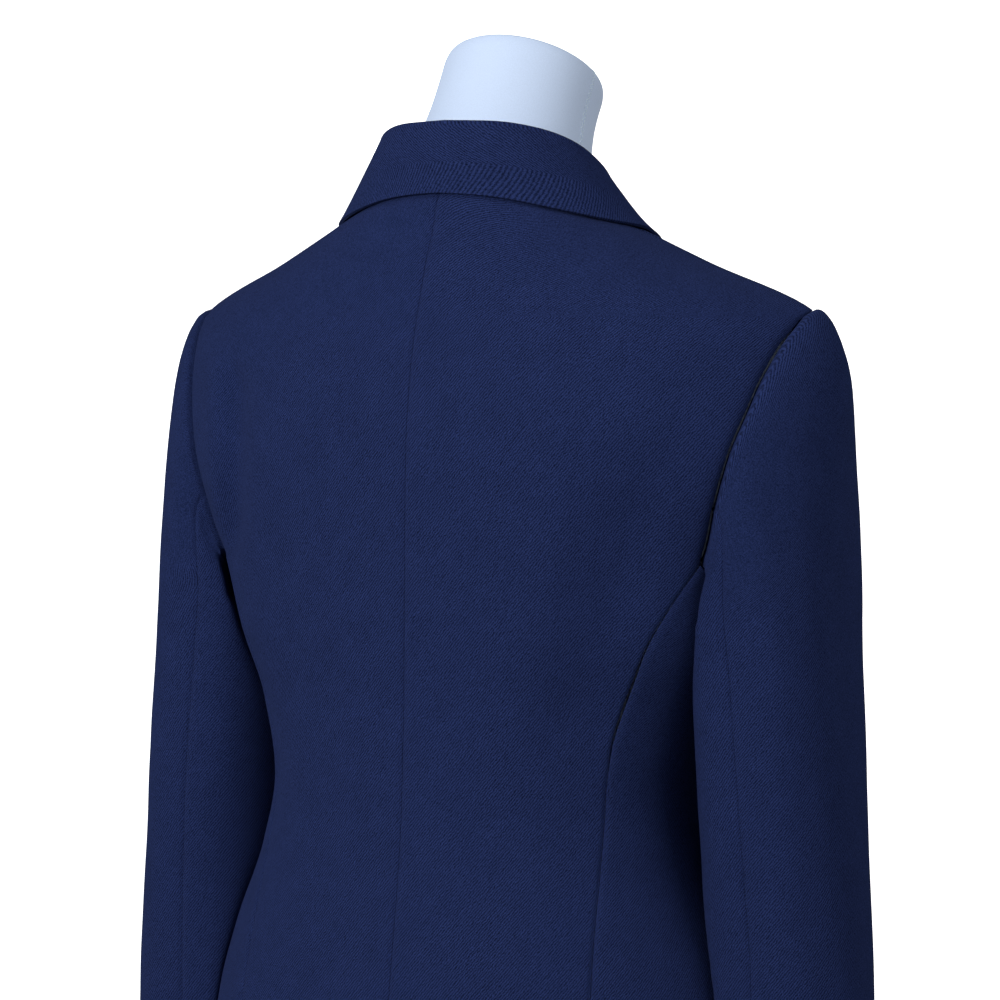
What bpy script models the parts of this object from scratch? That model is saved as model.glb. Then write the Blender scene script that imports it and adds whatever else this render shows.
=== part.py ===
"""Three-button blazer worn by a limbless dress form.

Sizes are in millimetres. The wearer faces -Y, so +X is the wearer's left and +Y the back.
The floor under the form is at height 0.
"""
import math
from bisect import bisect_right

import bmesh
import bpy
from mathutils import Vector

MM = 0.001
DEPTH_SHIFT = -25.9         # brings the middle of the whole to the origin

# Cloth
WALL = 2.0                  # cloth with its interlining
SEAM_GAP = 0.3              # between two pieces at a seam
LAYER_GAP = 0.9             # between two cloth layers that lie on each other
OVERLAP = 18.0              # each front runs this far past the centre front

# Heights
FORM_BASE = 0.0
HEM = 70.0
CUFF = 46.0
UNDERARM = 468.0            # lowest point of the armhole
ARMHOLE_CORNER = 482.0      # where the side seams meet the armhole
SHOULDER = 634.5
NAPE = 717.0

# Body of the jacket: one ring for each level. level is the height at the centre back; side and front
# are the heights of the same ring at the side and at the centre front. half_width, back and fore are the
# reach from the ring's centre line, centre is that line's place, square and bend shape its corners.
RING_COLUMNS = ("level", "side", "front", "half_width", "back", "fore", "centre", "square", "bend")
RINGS = (
    (FORM_BASE, 0.0, 0.0, 193.0, 139.0, 136.0, 28.0, 2.30, 0.50),
    (HEM, 70.0, 62.0, 193.0, 138.5, 136.0, 28.0, 2.30, 0.50),
    (140.0, 140.0, 136.0, 189.5, 135.0, 133.0, 28.0, 2.30, 0.50),
    (200.0, 200.0, 200.0, 181.0, 129.5, 127.0, 28.0, 2.30, 0.50),
    (250.0, 250.0, 250.0, 167.0, 122.5, 119.0, 28.0, 2.30, 0.50),
    (300.0, 300.0, 300.0, 148.5, 115.5, 113.5, 27.0, 2.30, 0.50),
    (340.0, 340.0, 340.0, 140.5, 112.5, 112.0, 26.0, 2.30, 0.50),
    (390.0, 390.0, 390.0, 151.0, 113.0, 116.0, 23.0, 2.35, 0.50),
    (435.0, 435.0, 435.0, 171.0, 116.0, 121.0, 19.5, 2.45, 0.50),
    (485.0, 485.0, 485.0, 187.0, 118.5, 122.0, 16.0, 2.55, 0.50),
    (520.0, 520.0, 517.0, 205.0, 118.0, 119.0, 16.0, 2.50, 0.50),
    (556.0, 556.0, 549.0, 220.0, 118.5, 107.0, 14.0, 2.50, 0.55),
    (592.0, 592.0, 578.0, 223.0, 116.3, 92.0, 12.0, 2.40, 0.60),
    (613.0, 612.5, 592.0, 222.0, 113.0, 83.0, 11.0, 2.30, 0.65),
    (630.0, 628.5, 602.0, 217.5, 109.5, 75.0, 10.0, 2.20, 0.70),
    (SHOULDER, 634.5, 606.0, 212.0, 107.5, 71.5, 10.5, 2.20, 0.72),
    (665.0, 662.5, 620.5, 150.0, 86.0, 77.5, 21.5, 2.15, 0.64),
    (692.0, 683.5, 632.5, 105.0, 70.0, 82.5, 27.0, 2.05, 0.56),
    (NAPE, 697.5, 640.0, 72.0, 68.0, 65.0, 14.5, 2.00, 0.50),
)

RIDGE_BLEND = 8.0           # degrees on each side of the shoulder seam

# Seams of the body, as half widths at each level
SEAM_COLUMNS = ("level", "half_width")
SIDE_BACK_SEAM = (
    (HEM, 124.5), (200.0, 121.5), (250.0, 119.0), (300.0, 116.5), (340.0, 115.5), (370.0, 119.0),
    (390.0, 124.5), (415.0, 134.0), (435.0, 142.0), (465.0, 157.5), (ARMHOLE_CORNER, 168.0),
)
SIDE_FRONT_SEAM = ((HEM, 146.0), (200.0, 138.0), (340.0, 112.0), (435.0, 136.0), (ARMHOLE_CORNER, 155.0))
ARMHOLE_BACK = (
    (ARMHOLE_CORNER, 168.0), (498.0, 173.4), (514.5, 178.2), (538.0, 185.1), (556.0, 190.0), (574.0, 195.5),
    (592.0, 200.2), (613.0, 206.0), (630.0, 211.0), (SHOULDER, 212.0),
)
ARMHOLE_FRONT = (
    (ARMHOLE_CORNER, 155.0), (500.0, 160.0), (520.0, 165.0), (556.0, 175.0), (592.0, 188.0), (613.0, 197.0),
    (630.0, 206.0), (SHOULDER, 212.0),
)

# Front opening: the roll line runs straight from the neck to the break above the top button. Places on
# a front are given as (distance from the centre front, height).
ROLL_NECK = (55.0, 672.5)
BREAK = (-OVERLAP, 455.0)
GORGE_HEIGHT = 638.0        # where the seam of collar and lapel meets the roll line
NOTCH = (90.0, 622.0)       # inner corner of the notch
LAPEL_POINT = (122.0, 607.0)
LAPEL_BELLY = 9.0           # how far the lapel's edge bows out
LAPEL_FOOT = 3.0            # width that the lapel keeps at the break
FRONT_CORNER = 80.0         # radius of the rounded lower corner of each front

# Collar: one row for each station from the centre back to the front end. seam is on the neck edge of the
# body (ring angle and level), roll the fold at the top, and edge the lower rim that lies on the body.
COLLAR_COLUMNS = ("station", "seam_angle", "seam_level", "roll_x", "roll_y", "roll_z",
                  "edge_angle", "edge_level")
COLLAR = (
    (0.0, 0.0, 717.0, 0.0, 83.5, 748.5, 0.0, 704.0),
    (1.0, 25.0, 717.0, 31.0, 77.0, 747.5, 24.0, 703.0),
    (2.0, 50.0, 717.0, 56.0, 58.5, 742.5, 48.0, 699.5),
    (3.0, 72.0, 717.0, 69.5, 34.5, 732.5, 69.0, 695.5),
    (4.0, 92.0, 717.0, 72.5, 10.5, 720.0, 88.0, 692.0),
    (5.0, 110.0, 717.0, 67.0, -12.0, 703.0, 103.0, 688.0),
    (6.0, 131.0, 717.0, 55.0, -31.0, 681.0, 115.0, 683.5),
    (7.0, 150.0, 705.0, 45.0, -45.8, 660.0, 125.0, 675.0),
    (8.0, 160.0, 685.0, 39.0, -54.3, 640.5, 133.0, 666.5),
)
LAST_STATION = 8.0
ON_BODY = (4.0, 6.5)        # between these stations the fall comes to lie on the front
ROLL_ROUND = 1.6            # radius of the fold, to the middle of the cloth
STAND_FOOT = 2.0            # the stand starts this far above the middle of the body's neck edge
NOTCH_SHARE = 0.55          # share of the collar's end that is sewn to the lapel

# Sleeve: one ring for each height, from the upper arm to the cuff
SLEEVE_COLUMNS = ("height", "inner", "outer", "fore", "back", "square")
SLEEVE = (
    (CUFF, 166.0, 256.5, -21.0, 68.0, 2.2),
    (100.0, 160.0, 256.5, -23.5, 70.5, 2.25),
    (198.0, 153.0, 255.2, -28.0, 73.2, 2.3),
    (240.0, 153.5, 253.3, -32.0, 73.8, 2.3),
    (300.0, 152.0, 247.6, -39.9, 76.5, 2.3),
    (345.0, 149.9, 243.8, -43.2, 78.0, 2.4),
    (375.0, 149.2, 240.7, -45.5, 78.0, 2.6),
    (415.0, 147.5, 236.7, -48.3, 77.6, 2.8),
    (452.0, 143.5, 233.7, -53.7, 77.8, 2.9),
)
UPPER_ARM = 452.0
BACK_SEAM_ANGLE = 92.0      # round the sleeve from its outer side, through the back
FRONT_SEAM_ANGLE = 250.0
BACK_SEAM_LEVEL = 516.0     # where that seam meets the armhole
FRONT_SEAM_LEVEL = 505.0
SLEEVE_CLEARANCE = 3.5      # the sleeve hangs this far from the body where it lies along it
PRESS = 5.0                 # how softly the sleeve bends round the body
HEAD_CLEAR = 0.4            # share of the sleeve head over which that clearance opens
SLEEVE_START_GAP = 0.5      # between the armhole's edge and the sleeve's

# How the sleeve leaves the armhole, round the sleeve: rise is the slope it starts with, and the pulls are
# the lengths of its curve's handles at the armhole and at the upper arm
SLEEVE_SETTING_COLUMNS = ("angle", "rise", "pull_start", "pull_end")
SLEEVE_SETTING = (
    (0.0, 0.2, 97.0, 154.0), (50.0, 0.0, 44.0, 80.0), (92.0, -0.1, 36.0, 56.0), (140.0, 0.1, 16.0, 24.0),
    (180.0, 0.15, 10.0, 14.0), (220.0, 0.1, 16.0, 24.0), (250.0, -0.1, 30.0, 50.0),
    (305.0, 0.0, 77.0, 112.0), (360.0, 0.2, 97.0, 154.0),
)

# Buttons
BUTTON_RADIUS = 10.5
BUTTON_THICKNESS = 3.4
BUTTON_EDGE = 0.8           # rounding of the rim
BUTTON_DISH = 0.7           # the face lies this far below the rim
SHANK_RADIUS = 2.2
SHANK_HEIGHT = 1.6
BUTTON_HEIGHTS = {"button_top": 437.0, "button_middle": 343.0, "button_bottom": 249.0}

# Dress form
FORM_CLEARANCE_COLUMNS = ("level", "clearance")
FORM_CLEARANCE = ((FORM_BASE, 9.0), (HEM, 9.0), (200.0, 8.0), (340.0, 8.0), (485.0, 5.0), (592.0, 3.0),
                  (SHOULDER, 1.9), (NAPE, 1.0))
FORM_SHOULDER = 186.0       # beyond this half width the form rounds down to its shoulder end
FORM_SHOULDER_ROUND = 12.0
NECK_RING_COLUMNS = ("height", "centre", "radius", "tilt")
NECK_RINGS = (
    (711.0, 14.0, 64.0, 8.0),
    (720.0, 11.5, 59.5, 10.0),
    (731.0, 7.0, 55.8, 13.0),
    (744.0, 0.0, 53.2, 17.0),
    (757.0, -7.5, 51.8, 21.0),
    (768.0, -14.0, 51.5, 25.0),
    (775.5, -18.6, 51.6, 27.5),
    (781.0, -22.0, 49.4, 28.0),
    (784.8, -24.2, 43.0, 28.0),
    (786.2, -25.0, 30.0, 28.0),
)

# Rows and columns of the pieces
BACK_COLUMNS = 8
SIDE_COLUMNS = 5
FRONT_COLUMNS = 12
LAPEL_ROWS = 12
LAPEL_COLUMNS = 7
COLLAR_STATIONS = 14        # on each side of the centre back
TOP_SLEEVE_COLUMNS = 11
UNDER_SLEEVE_COLUMNS = 8
BUTTON_STEPS = 24
FORM_SEGMENTS = 36


def curve(table, column=1):
    """Return the smooth curve through a table, from its first column to another, never overshooting."""
    xs = [row[0] for row in table]
    ys = [row[column] for row in table]
    steps = [b - a for a, b in zip(xs, xs[1:])]
    slopes = [(b - a) / step for a, b, step in zip(ys, ys[1:], steps)]
    bends = [slopes[0]]
    for before, after in zip(slopes, slopes[1:]):
        bends.append(0.0 if before * after <= 0 else 2 * before * after / (before + after))
    bends.append(slopes[-1])

    def value(x):
        x = min(max(x, xs[0]), xs[-1])
        i = min(bisect_right(xs, x) - 1, len(steps) - 1)
        h = steps[i]
        t = (x - xs[i]) / h
        return ((1 + 2 * t) * (1 - t) ** 2 * ys[i] + t * (1 - t) ** 2 * h * bends[i]
                + t * t * (3 - 2 * t) * ys[i + 1] + t * t * (t - 1) * h * bends[i + 1])

    return value


def curves(table, columns):
    """Return a curve for each named column of a table."""
    return {name: curve(table, i) for i, name in enumerate(columns) if i}


ring = curves(RINGS, RING_COLUMNS)
side_back = curves(SIDE_BACK_SEAM, SEAM_COLUMNS)["half_width"]
side_front = curves(SIDE_FRONT_SEAM, SEAM_COLUMNS)["half_width"]
armhole_back = curves(ARMHOLE_BACK, SEAM_COLUMNS)["half_width"]
armhole_front = curves(ARMHOLE_FRONT, SEAM_COLUMNS)["half_width"]
collar_line = curves(COLLAR, COLLAR_COLUMNS)
sleeve_ring = curves(SLEEVE, SLEEVE_COLUMNS)
form_clearance = curves(FORM_CLEARANCE, FORM_CLEARANCE_COLUMNS)["clearance"]
setting = curves(SLEEVE_SETTING, SLEEVE_SETTING_COLUMNS)


def body_point(angle, level):
    """Point of the jacket's body: angle in degrees from the centre back towards the wearer's left."""
    turn = math.radians(angle)
    across, along = math.sin(turn), math.cos(turn)
    reach = abs(across) ** (2.0 / ring["square"](level))
    x = math.copysign(ring["half_width"](level) * reach, across)
    depth = ring["back"](level) if along > 0 else ring["fore"](level)
    y = ring["centre"](level) + math.copysign(depth * abs(along) ** (2.0 * ring["bend"](level)), along)
    end = level if along > 0 else ring["front"](level)
    z = end + (ring["side"](level) - end) * reach * reach
    return Vector((x, y, z))


def normal_of(point_at, u, v, du, dv):
    """Outward normal of a surface, from small steps along its two directions."""
    along_u = point_at(u + du, v) - point_at(u - du, v)
    along_v = point_at(u, v + dv) - point_at(u, v - dv)
    return along_v.cross(along_u).normalized()


def body_normal(angle, level):
    """Outward normal of the body. Near the shoulder's ridge it turns to the ridge's own normal."""
    ridge = 90.0 if angle < 180.0 else 270.0
    off = angle - ridge
    if abs(off) < RIDGE_BLEND:
        angle = ridge + off * abs(off) / RIDGE_BLEND
    return normal_of(body_point, angle, min(max(level, 1.0), NAPE - 1.0), 0.5, 0.8)


def body_skin(angle, level, lift):
    """Point lifted off the body along its normal."""
    return body_point(angle, level) + body_normal(angle, level) * lift


def angle_at(half_width, level, front):
    """Angle of the body's point at a distance from the middle line."""
    share = min(half_width / ring["half_width"](level), 1.0)
    turn = math.degrees(math.asin(share ** (ring["square"](level) / 2.0)))
    return 180.0 - turn if front else turn


def smooth_step(low, high, value):
    """Share from 0 to 1 that turns smoothly between two limits."""
    t = min(max((value - low) / (high - low), 0.0), 1.0)
    return t * t * (3.0 - 2.0 * t)


def mix(a, b, share):
    """Value between two others."""
    return a + (b - a) * share


def front_spot(x, height):
    """Angle and level of the point of a front at a distance from the centre front and a height."""
    low, high = HEM, NAPE
    for _ in range(40):
        level = (low + high) / 2.0
        too_far = abs(x) >= ring["half_width"](level)
        if too_far or body_point(angle_at(abs(x), level, True), level).z > height:
            high = level
        else:
            low = level
    angle = angle_at(abs(x), level, True)
    return (angle if x >= 0 else 360.0 - angle), level


def roll_x(height):
    """Distance of the roll line from the centre front at a height."""
    slope = (ROLL_NECK[0] - BREAK[0]) / (ROLL_NECK[1] - BREAK[1])
    return BREAK[0] + (height - BREAK[1]) * slope


def roll_angle(level):
    """Angle of the roll line on a ring."""
    x = roll_x(ring["front"](level))
    for _ in range(12):
        angle = angle_at(abs(x), level, True)
        x = roll_x(body_point(angle, level).z)
    return angle if x >= 0 else 360.0 - angle


def away(angle, level, gap):
    """Angle of the point on the same ring at a signed distance from a seam."""
    start = body_point(angle, level)
    near, far = 0.0, math.copysign(12.0, gap)
    for _ in range(30):
        middle = (near + far) / 2.0
        if (body_point(angle + middle, level) - start).length < abs(gap):
            near = middle
        else:
            far = middle
    return angle + far


def front_edge(level):
    """Angle of a front's free edge: the roll line above the break, and the lapped edge below it."""
    if level > BREAK[1]:
        return roll_angle(level)
    x = BREAK[0]
    drop = HEM + FRONT_CORNER - level
    if drop > 0:
        x += FRONT_CORNER - math.sqrt(max(FRONT_CORNER ** 2 - drop ** 2, 0.0))
    angle = angle_at(abs(x), level, True)
    return angle if x >= 0 else 360.0 - angle


def back_boundary(level):
    """Angle of the back's outer edge: side-back seam, then armhole, then shoulder seam."""
    if level <= ARMHOLE_CORNER:
        return angle_at(side_back(level), level, False)
    return 90.0 if level >= SHOULDER else angle_at(armhole_back(level), level, False)


def front_boundary(level):
    """Angle of the front's outer edge: side-front seam, then armhole, then shoulder seam."""
    if level <= ARMHOLE_CORNER:
        return angle_at(side_front(level), level, True)
    return 90.0 if level >= SHOULDER else angle_at(armhole_front(level), level, True)


def underarm(share):
    """Level of the side body's top edge, from the side-back seam (0) to the side-front seam (1)."""
    return ARMHOLE_CORNER - (ARMHOLE_CORNER - UNDERARM) * math.sin(math.pi * share) ** 0.8


# Cloth walls


def wall(name, outer, inner, side, colour):
    """Make one closed piece of cloth from the grids of points of its two faces."""
    mesh = bmesh.new()
    grids = []
    for grid in (outer, inner):
        grids.append([[mesh.verts.new((p.x * side * MM, p.y * MM, p.z * MM)) for p in row] for row in grid])
    rows, columns = len(outer), len(outer[0])
    for face, grid in enumerate(grids):
        for r in range(rows - 1):
            for c in range(columns - 1):
                corners = [grid[r][c], grid[r][c + 1], grid[r + 1][c + 1], grid[r + 1][c]]
                mesh.faces.new(corners if face else corners[::-1])
    rim = [(0, c) for c in range(columns)] + [(r, columns - 1) for r in range(1, rows)]
    rim += [(rows - 1, c) for c in range(columns - 2, -1, -1)] + [(r, 0) for r in range(rows - 2, 0, -1)]
    for (r, c), (s, d) in zip(rim, rim[1:] + rim[:1]):
        mesh.faces.new((grids[0][r][c], grids[0][s][d], grids[1][s][d], grids[1][r][c]))
    bmesh.ops.recalc_face_normals(mesh, faces=mesh.faces)
    return add_object(name, mesh, colour)


def panel(name, side, spots, colour, lift):
    """Cloth that lies on the body. spots is a grid of (angle, level); lift gives the inner face's lift."""
    inner = [[body_skin(a, v, lift(a, v)) for a, v in row] for row in spots]
    outer = [[body_skin(a, v, lift(a, v) + WALL) for a, v in row] for row in spots]
    return wall(name, outer, inner, side, colour)


def on_body(_angle, _level):
    """Lift of a panel's inner face where its outer face is the body's skin."""
    return -WALL


def lapped(angle, level):
    """Lift of the right front's inner face, which rises over the left front and its lapel."""
    x = abs(body_point(angle, level).x) * (1.0 if angle <= 180.0 else -1.0)
    near_edge = 1.0 - smooth_step(20.0, 85.0, x)
    layers = 1.0 + smooth_step(396.0, 438.0, level)
    below_chest = 1.0 - smooth_step(520.0, 612.0, level)
    return -WALL + near_edge * layers * below_chest * (WALL + LAYER_GAP)


def shares(count):
    """Evenly spaced shares from 0 to 1."""
    return [i / count for i in range(count + 1)]


def between(low, high, count):
    """Evenly spaced values, both ends included."""
    return [mix(low, high, share) for share in shares(count)]


SKIRT_LEVELS = between(HEM, 340.0, 7)
WAIST_LEVELS = [366.0, 392.0, 416.0, 438.0, 460.0, ARMHOLE_CORNER]
YOKE_LEVELS = ([498.0, 514.0, 534.0, 556.0, 576.0, 594.0, 612.0, 626.0]
               + between(SHOULDER, NAPE, 7))
BODY_LEVELS = SKIRT_LEVELS + WAIST_LEVELS + YOKE_LEVELS


def make_back(name, side, colour):
    """Half of the back, from the centre-back seam to the side-back seam, armhole and shoulder."""
    spots = []
    for level in BODY_LEVELS:
        first = away(0.0, level, SEAM_GAP / 2)
        last = away(back_boundary(level), level, -SEAM_GAP / 2)
        spots.append([(mix(first, last, share), level) for share in shares(BACK_COLUMNS)])
    panel(name, side, spots, colour, on_body)


def make_side(name, side, colour):
    """Side body, between the side-back and side-front seams, up to the underarm."""
    spots = []
    for height in SKIRT_LEVELS + WAIST_LEVELS:
        row = []
        up = (height - HEM) / (ARMHOLE_CORNER - HEM)
        for share in shares(SIDE_COLUMNS):
            level = mix(HEM, underarm(share), up)
            first = away(back_boundary(level), level, SEAM_GAP / 2)
            last = away(front_boundary(level), level, -SEAM_GAP / 2)
            row.append((mix(first, last, share), level))
        spots.append(row)
    panel(name, side, spots, colour, on_body)


def make_front(name, side, colour):
    """Front, from the side-front seam, armhole and shoulder to the free edge or the roll line."""
    spots = []
    corner = [HEM, HEM + 8.0, HEM + 22.0, HEM + FRONT_CORNER * 0.7]
    for level in corner + [v for v in BODY_LEVELS if v > corner[-1] + 12.0]:
        first = away(front_boundary(level), level, SEAM_GAP / 2)
        last = front_edge(level)
        spots.append([(mix(first, last, share), level) for share in shares(FRONT_COLUMNS)])
    panel(name, side, spots, colour, on_body if side > 0 else lapped)


def lapel_spot(along, across):
    """Angle and level on a lapel: along from the gorge (0) to the break (1), across from the roll line."""
    height = mix(GORGE_HEIGHT - 1.0, BREAK[1] + 1.0, along)
    x = roll_x(height)
    width = (LAPEL_POINT[0] - roll_x(GORGE_HEIGHT)) * (1.0 - along) + LAPEL_FOOT * along
    width += LAPEL_BELLY * math.sin(math.pi * along)
    fall = (LAPEL_POINT[1] - GORGE_HEIGHT) * (1.0 - along)
    return front_spot(x + width * across, height + fall * across)


def make_lapel(name, side, colour):
    """Turned-back lapel, made from the front's points moved out."""
    under = on_body if side > 0 else lapped
    spots = [[lapel_spot(along, across) for across in shares(LAPEL_COLUMNS)] for along in shares(LAPEL_ROWS)]
    panel(name, side, spots, colour, lambda angle, level: under(angle, level) + WALL + LAYER_GAP)


# Collar


def collar_station(station):
    """Return a station's points across the cloth's middle: up the stand, over the roll, down the fall."""
    side = -1.0 if station < 0 else 1.0
    at = abs(station)

    def place(name):
        return collar_line[name](at)

    def roll_at(where):
        sign = -1.0 if where < 0 else 1.0
        line = [collar_line[name](abs(where)) for name in ("roll_x", "roll_y", "roll_z")]
        return Vector((line[0] * sign, line[1], line[2]))

    def flip(point):
        return Vector((point.x * side, point.y, point.z))

    seam_angle = min(place("seam_angle"), roll_angle(place("seam_level")))
    seam = flip(body_skin(seam_angle, place("seam_level"), -WALL / 2))
    roll = roll_at(station)
    step = 0.05
    along = (roll_at(min(station + step, LAST_STATION)) - roll_at(max(station - step, -LAST_STATION)))
    along.normalize()
    up = roll - seam
    height = up.length
    up = (up - along * up.dot(along)).normalized()
    out = up.cross(along).normalized()
    top = roll - up * ROLL_ROUND
    points = [seam + (roll - seam) * (STAND_FOOT / height)]
    stand_top = top - out * ROLL_ROUND
    points.append(mix(points[0], stand_top, 0.5))
    for turn in range(5):
        swing = math.pi * turn / 4
        points.append(top - out * ROLL_ROUND * math.cos(swing) + up * ROLL_ROUND * math.sin(swing))
    fall_top = points[-1]
    lift = LAYER_GAP + WALL / 2
    edge = flip(body_skin(place("edge_angle"), place("edge_level"), lift))
    lie = smooth_step(*ON_BODY, at)
    end_bend = smooth_step(LAST_STATION - 2.0, LAST_STATION, at) * lie
    notch_angle, notch_level = front_spot(*NOTCH)
    for share in (0.25, NOTCH_SHARE, 0.8, 1.0):
        straight = mix(fall_top, edge, share)
        angle = mix(seam_angle, place("edge_angle"), share)
        level = mix(place("seam_level"), place("edge_level"), share)
        tent = share / NOTCH_SHARE if share <= NOTCH_SHARE else (1.0 - share) / (1.0 - NOTCH_SHARE)
        angle += tent * end_bend * (notch_angle - mix(roll_angle(collar_line["seam_level"](LAST_STATION)),
                                                      collar_line["edge_angle"](LAST_STATION), NOTCH_SHARE))
        level += tent * end_bend * (notch_level - mix(collar_line["seam_level"](LAST_STATION),
                                                      collar_line["edge_level"](LAST_STATION), NOTCH_SHARE))
        lying = flip(body_skin(angle, level, lift + (1.0 - share) * ROLL_ROUND))
        points.append(mix(straight, lying, lie))
    return points


def grid_normals(grid):
    """Normals of a grid of points, from each point's neighbours."""
    normals = []
    for r, row in enumerate(grid):
        line = []
        for c in range(len(row)):
            across = row[min(c + 1, len(row) - 1)] - row[max(c - 1, 0)]
            along = grid[min(r + 1, len(grid) - 1)][c] - grid[max(r - 1, 0)][c]
            line.append(across.cross(along).normalized())
        normals.append(line)
    return normals


def make_collar(name, colour):
    """Collar, folded at the roll line, from one gorge round the neck to the other."""
    middle = [collar_station(at) for at in between(-LAST_STATION, LAST_STATION, 2 * COLLAR_STATIONS)]
    normals = grid_normals(middle)
    half = WALL / 2
    outer = [[p + n * half for p, n in zip(*rows)] for rows in zip(middle, normals)]
    inner = [[p - n * half for p, n in zip(*rows)] for rows in zip(middle, normals)]
    wall(name, outer, inner, 1.0, colour)


# Sleeves


def armhole_loop():
    """Places round the armhole, as angle and level, from the shoulder down the back and up the front."""
    spots = []
    for i in range(60):
        level = mix(SHOULDER, ARMHOLE_CORNER, i / 60)
        spots.append((back_boundary(level), level))
    for i in range(41):
        share = i / 40
        level = underarm(share)
        spots.append((mix(back_boundary(level), front_boundary(level), share), level))
    for i in range(1, 61):
        level = mix(ARMHOLE_CORNER, SHOULDER, i / 60)
        spots.append((front_boundary(level), level))
    return spots


def anchored_loop():
    """Places on the armhole for the sleeve's angles, by distance along the armhole between anchors."""
    spots = armhole_loop()
    points = [body_point(a, v) for a, v in spots]
    run = [0.0]
    for before, after in zip(points, points[1:]):
        run.append(run[-1] + (after - before).length)
    back = min(range(60), key=lambda i: abs(spots[i][1] - BACK_SEAM_LEVEL))
    front = min(range(101, 161), key=lambda i: abs(spots[i][1] - FRONT_SEAM_LEVEL))
    anchors = ((0.0, run[0]), (BACK_SEAM_ANGLE, run[back]), (180.0, run[80]),
               (FRONT_SEAM_ANGLE, run[front]), (360.0, run[-1]))
    return points, run, curve(anchors)


LOOP_POINTS, LOOP_RUN, loop_distance = anchored_loop()


def beside_body(x, y, height, clearance):
    """Keep a point of the sleeve outside the body: return its distance from the middle line."""
    level = min(height, NAPE)
    depth = y - ring["centre"](level)
    along = abs(depth) / (ring["back"](level) if depth > 0 else ring["fore"](level))
    if along >= 1.0:
        return x
    across = math.sqrt(1.0 - along ** (1.0 / ring["bend"](level)))
    limit = ring["half_width"](level) * across ** (2.0 / ring["square"](level)) + clearance
    over = x - limit
    return limit + (over + math.hypot(over, PRESS)) / 2.0


def sleeve_tube(angle, height):
    """Point of the sleeve below the armhole. The angle starts at the outer side and runs by the back."""
    turn = math.radians(angle)
    across, along = math.cos(turn), math.sin(turn)
    power = 2.0 / sleeve_ring["square"](height)
    inner, outer = sleeve_ring["inner"](height), sleeve_ring["outer"](height)
    fore, back = sleeve_ring["fore"](height), sleeve_ring["back"](height)
    x = (inner + outer) / 2 + math.copysign(abs(across) ** power, across) * (outer - inner) / 2
    y = (fore + back) / 2 + math.copysign(abs(along) ** power, along) * (back - fore) / 2
    return Vector((beside_body(x, y, height, SLEEVE_CLEARANCE), y, height))


def sleeve_head(angle, share):
    """Point of the sleeve between the armhole (share 0) and the upper arm (share 1)."""
    angle %= 360.0
    distance = loop_distance(angle)
    i = min(bisect_right(LOOP_RUN, distance), len(LOOP_RUN) - 1)
    part = (distance - LOOP_RUN[i - 1]) / (LOOP_RUN[i] - LOOP_RUN[i - 1])
    turn = math.radians(angle)
    leave = Vector((1.0, 0.5 * math.sin(turn), setting["rise"](angle))).normalized()
    start = mix(LOOP_POINTS[i - 1], LOOP_POINTS[i], part) + leave * SLEEVE_START_GAP
    end = sleeve_tube(angle, UPPER_ARM)
    below = sleeve_tube(angle, UPPER_ARM - 6.0)
    down = (below - end).normalized()
    t = share
    leave *= setting["pull_start"](angle)
    down *= setting["pull_end"](angle)
    point = ((2 * t ** 3 - 3 * t ** 2 + 1) * start + (t ** 3 - 2 * t ** 2 + t) * leave
             + (3 * t ** 2 - 2 * t ** 3) * end + (t ** 3 - t ** 2) * down)
    apart = smooth_step(0.0, HEAD_CLEAR, share)
    point.x = mix(point.x, beside_body(point.x, point.y, point.z, SLEEVE_CLEARANCE), apart)
    return point


def sleeve_point(angle, run):
    """Point of the sleeve: run is 0 at the armhole, 1 at the upper arm and 2 at the cuff."""
    if run <= 1.0:
        return sleeve_head(angle, max(run, 0.0))
    return sleeve_tube(angle, mix(UPPER_ARM, CUFF, run - 1.0))


def sleeve_skin(angle, run, lift):
    """Point lifted off the sleeve along its normal."""
    near = min(max(run, 0.012), 1.99)
    normal = normal_of(sleeve_point, angle, near, 1.0, 0.01)
    return sleeve_point(angle, run) + normal * lift


def sleeve_away(angle, run, gap):
    """Angle of the point at a signed distance from a seam of the sleeve."""
    rate = (sleeve_point(angle + 0.5, run) - sleeve_point(angle - 0.5, run)).length
    return angle + gap / rate


SLEEVE_RUNS = [0.0, 0.07, 0.16, 0.27, 0.4, 0.55, 0.72, 0.87] + between(1.0, 2.0, 9)


def make_sleeve(name, side, first, last, columns, colour):
    """One piece of a sleeve, between two of its seams."""
    faces = []
    for lift in (0.0, -WALL):
        grid = []
        for run in SLEEVE_RUNS:
            start = sleeve_away(first, run, SEAM_GAP / 2)
            end = sleeve_away(last, run, -SEAM_GAP / 2)
            grid.append([sleeve_skin(mix(start, end, share), run, lift) for share in shares(columns)])
        faces.append(grid)
    wall(name, faces[0], faces[1], side, colour)


# Buttons and dress form


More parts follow.
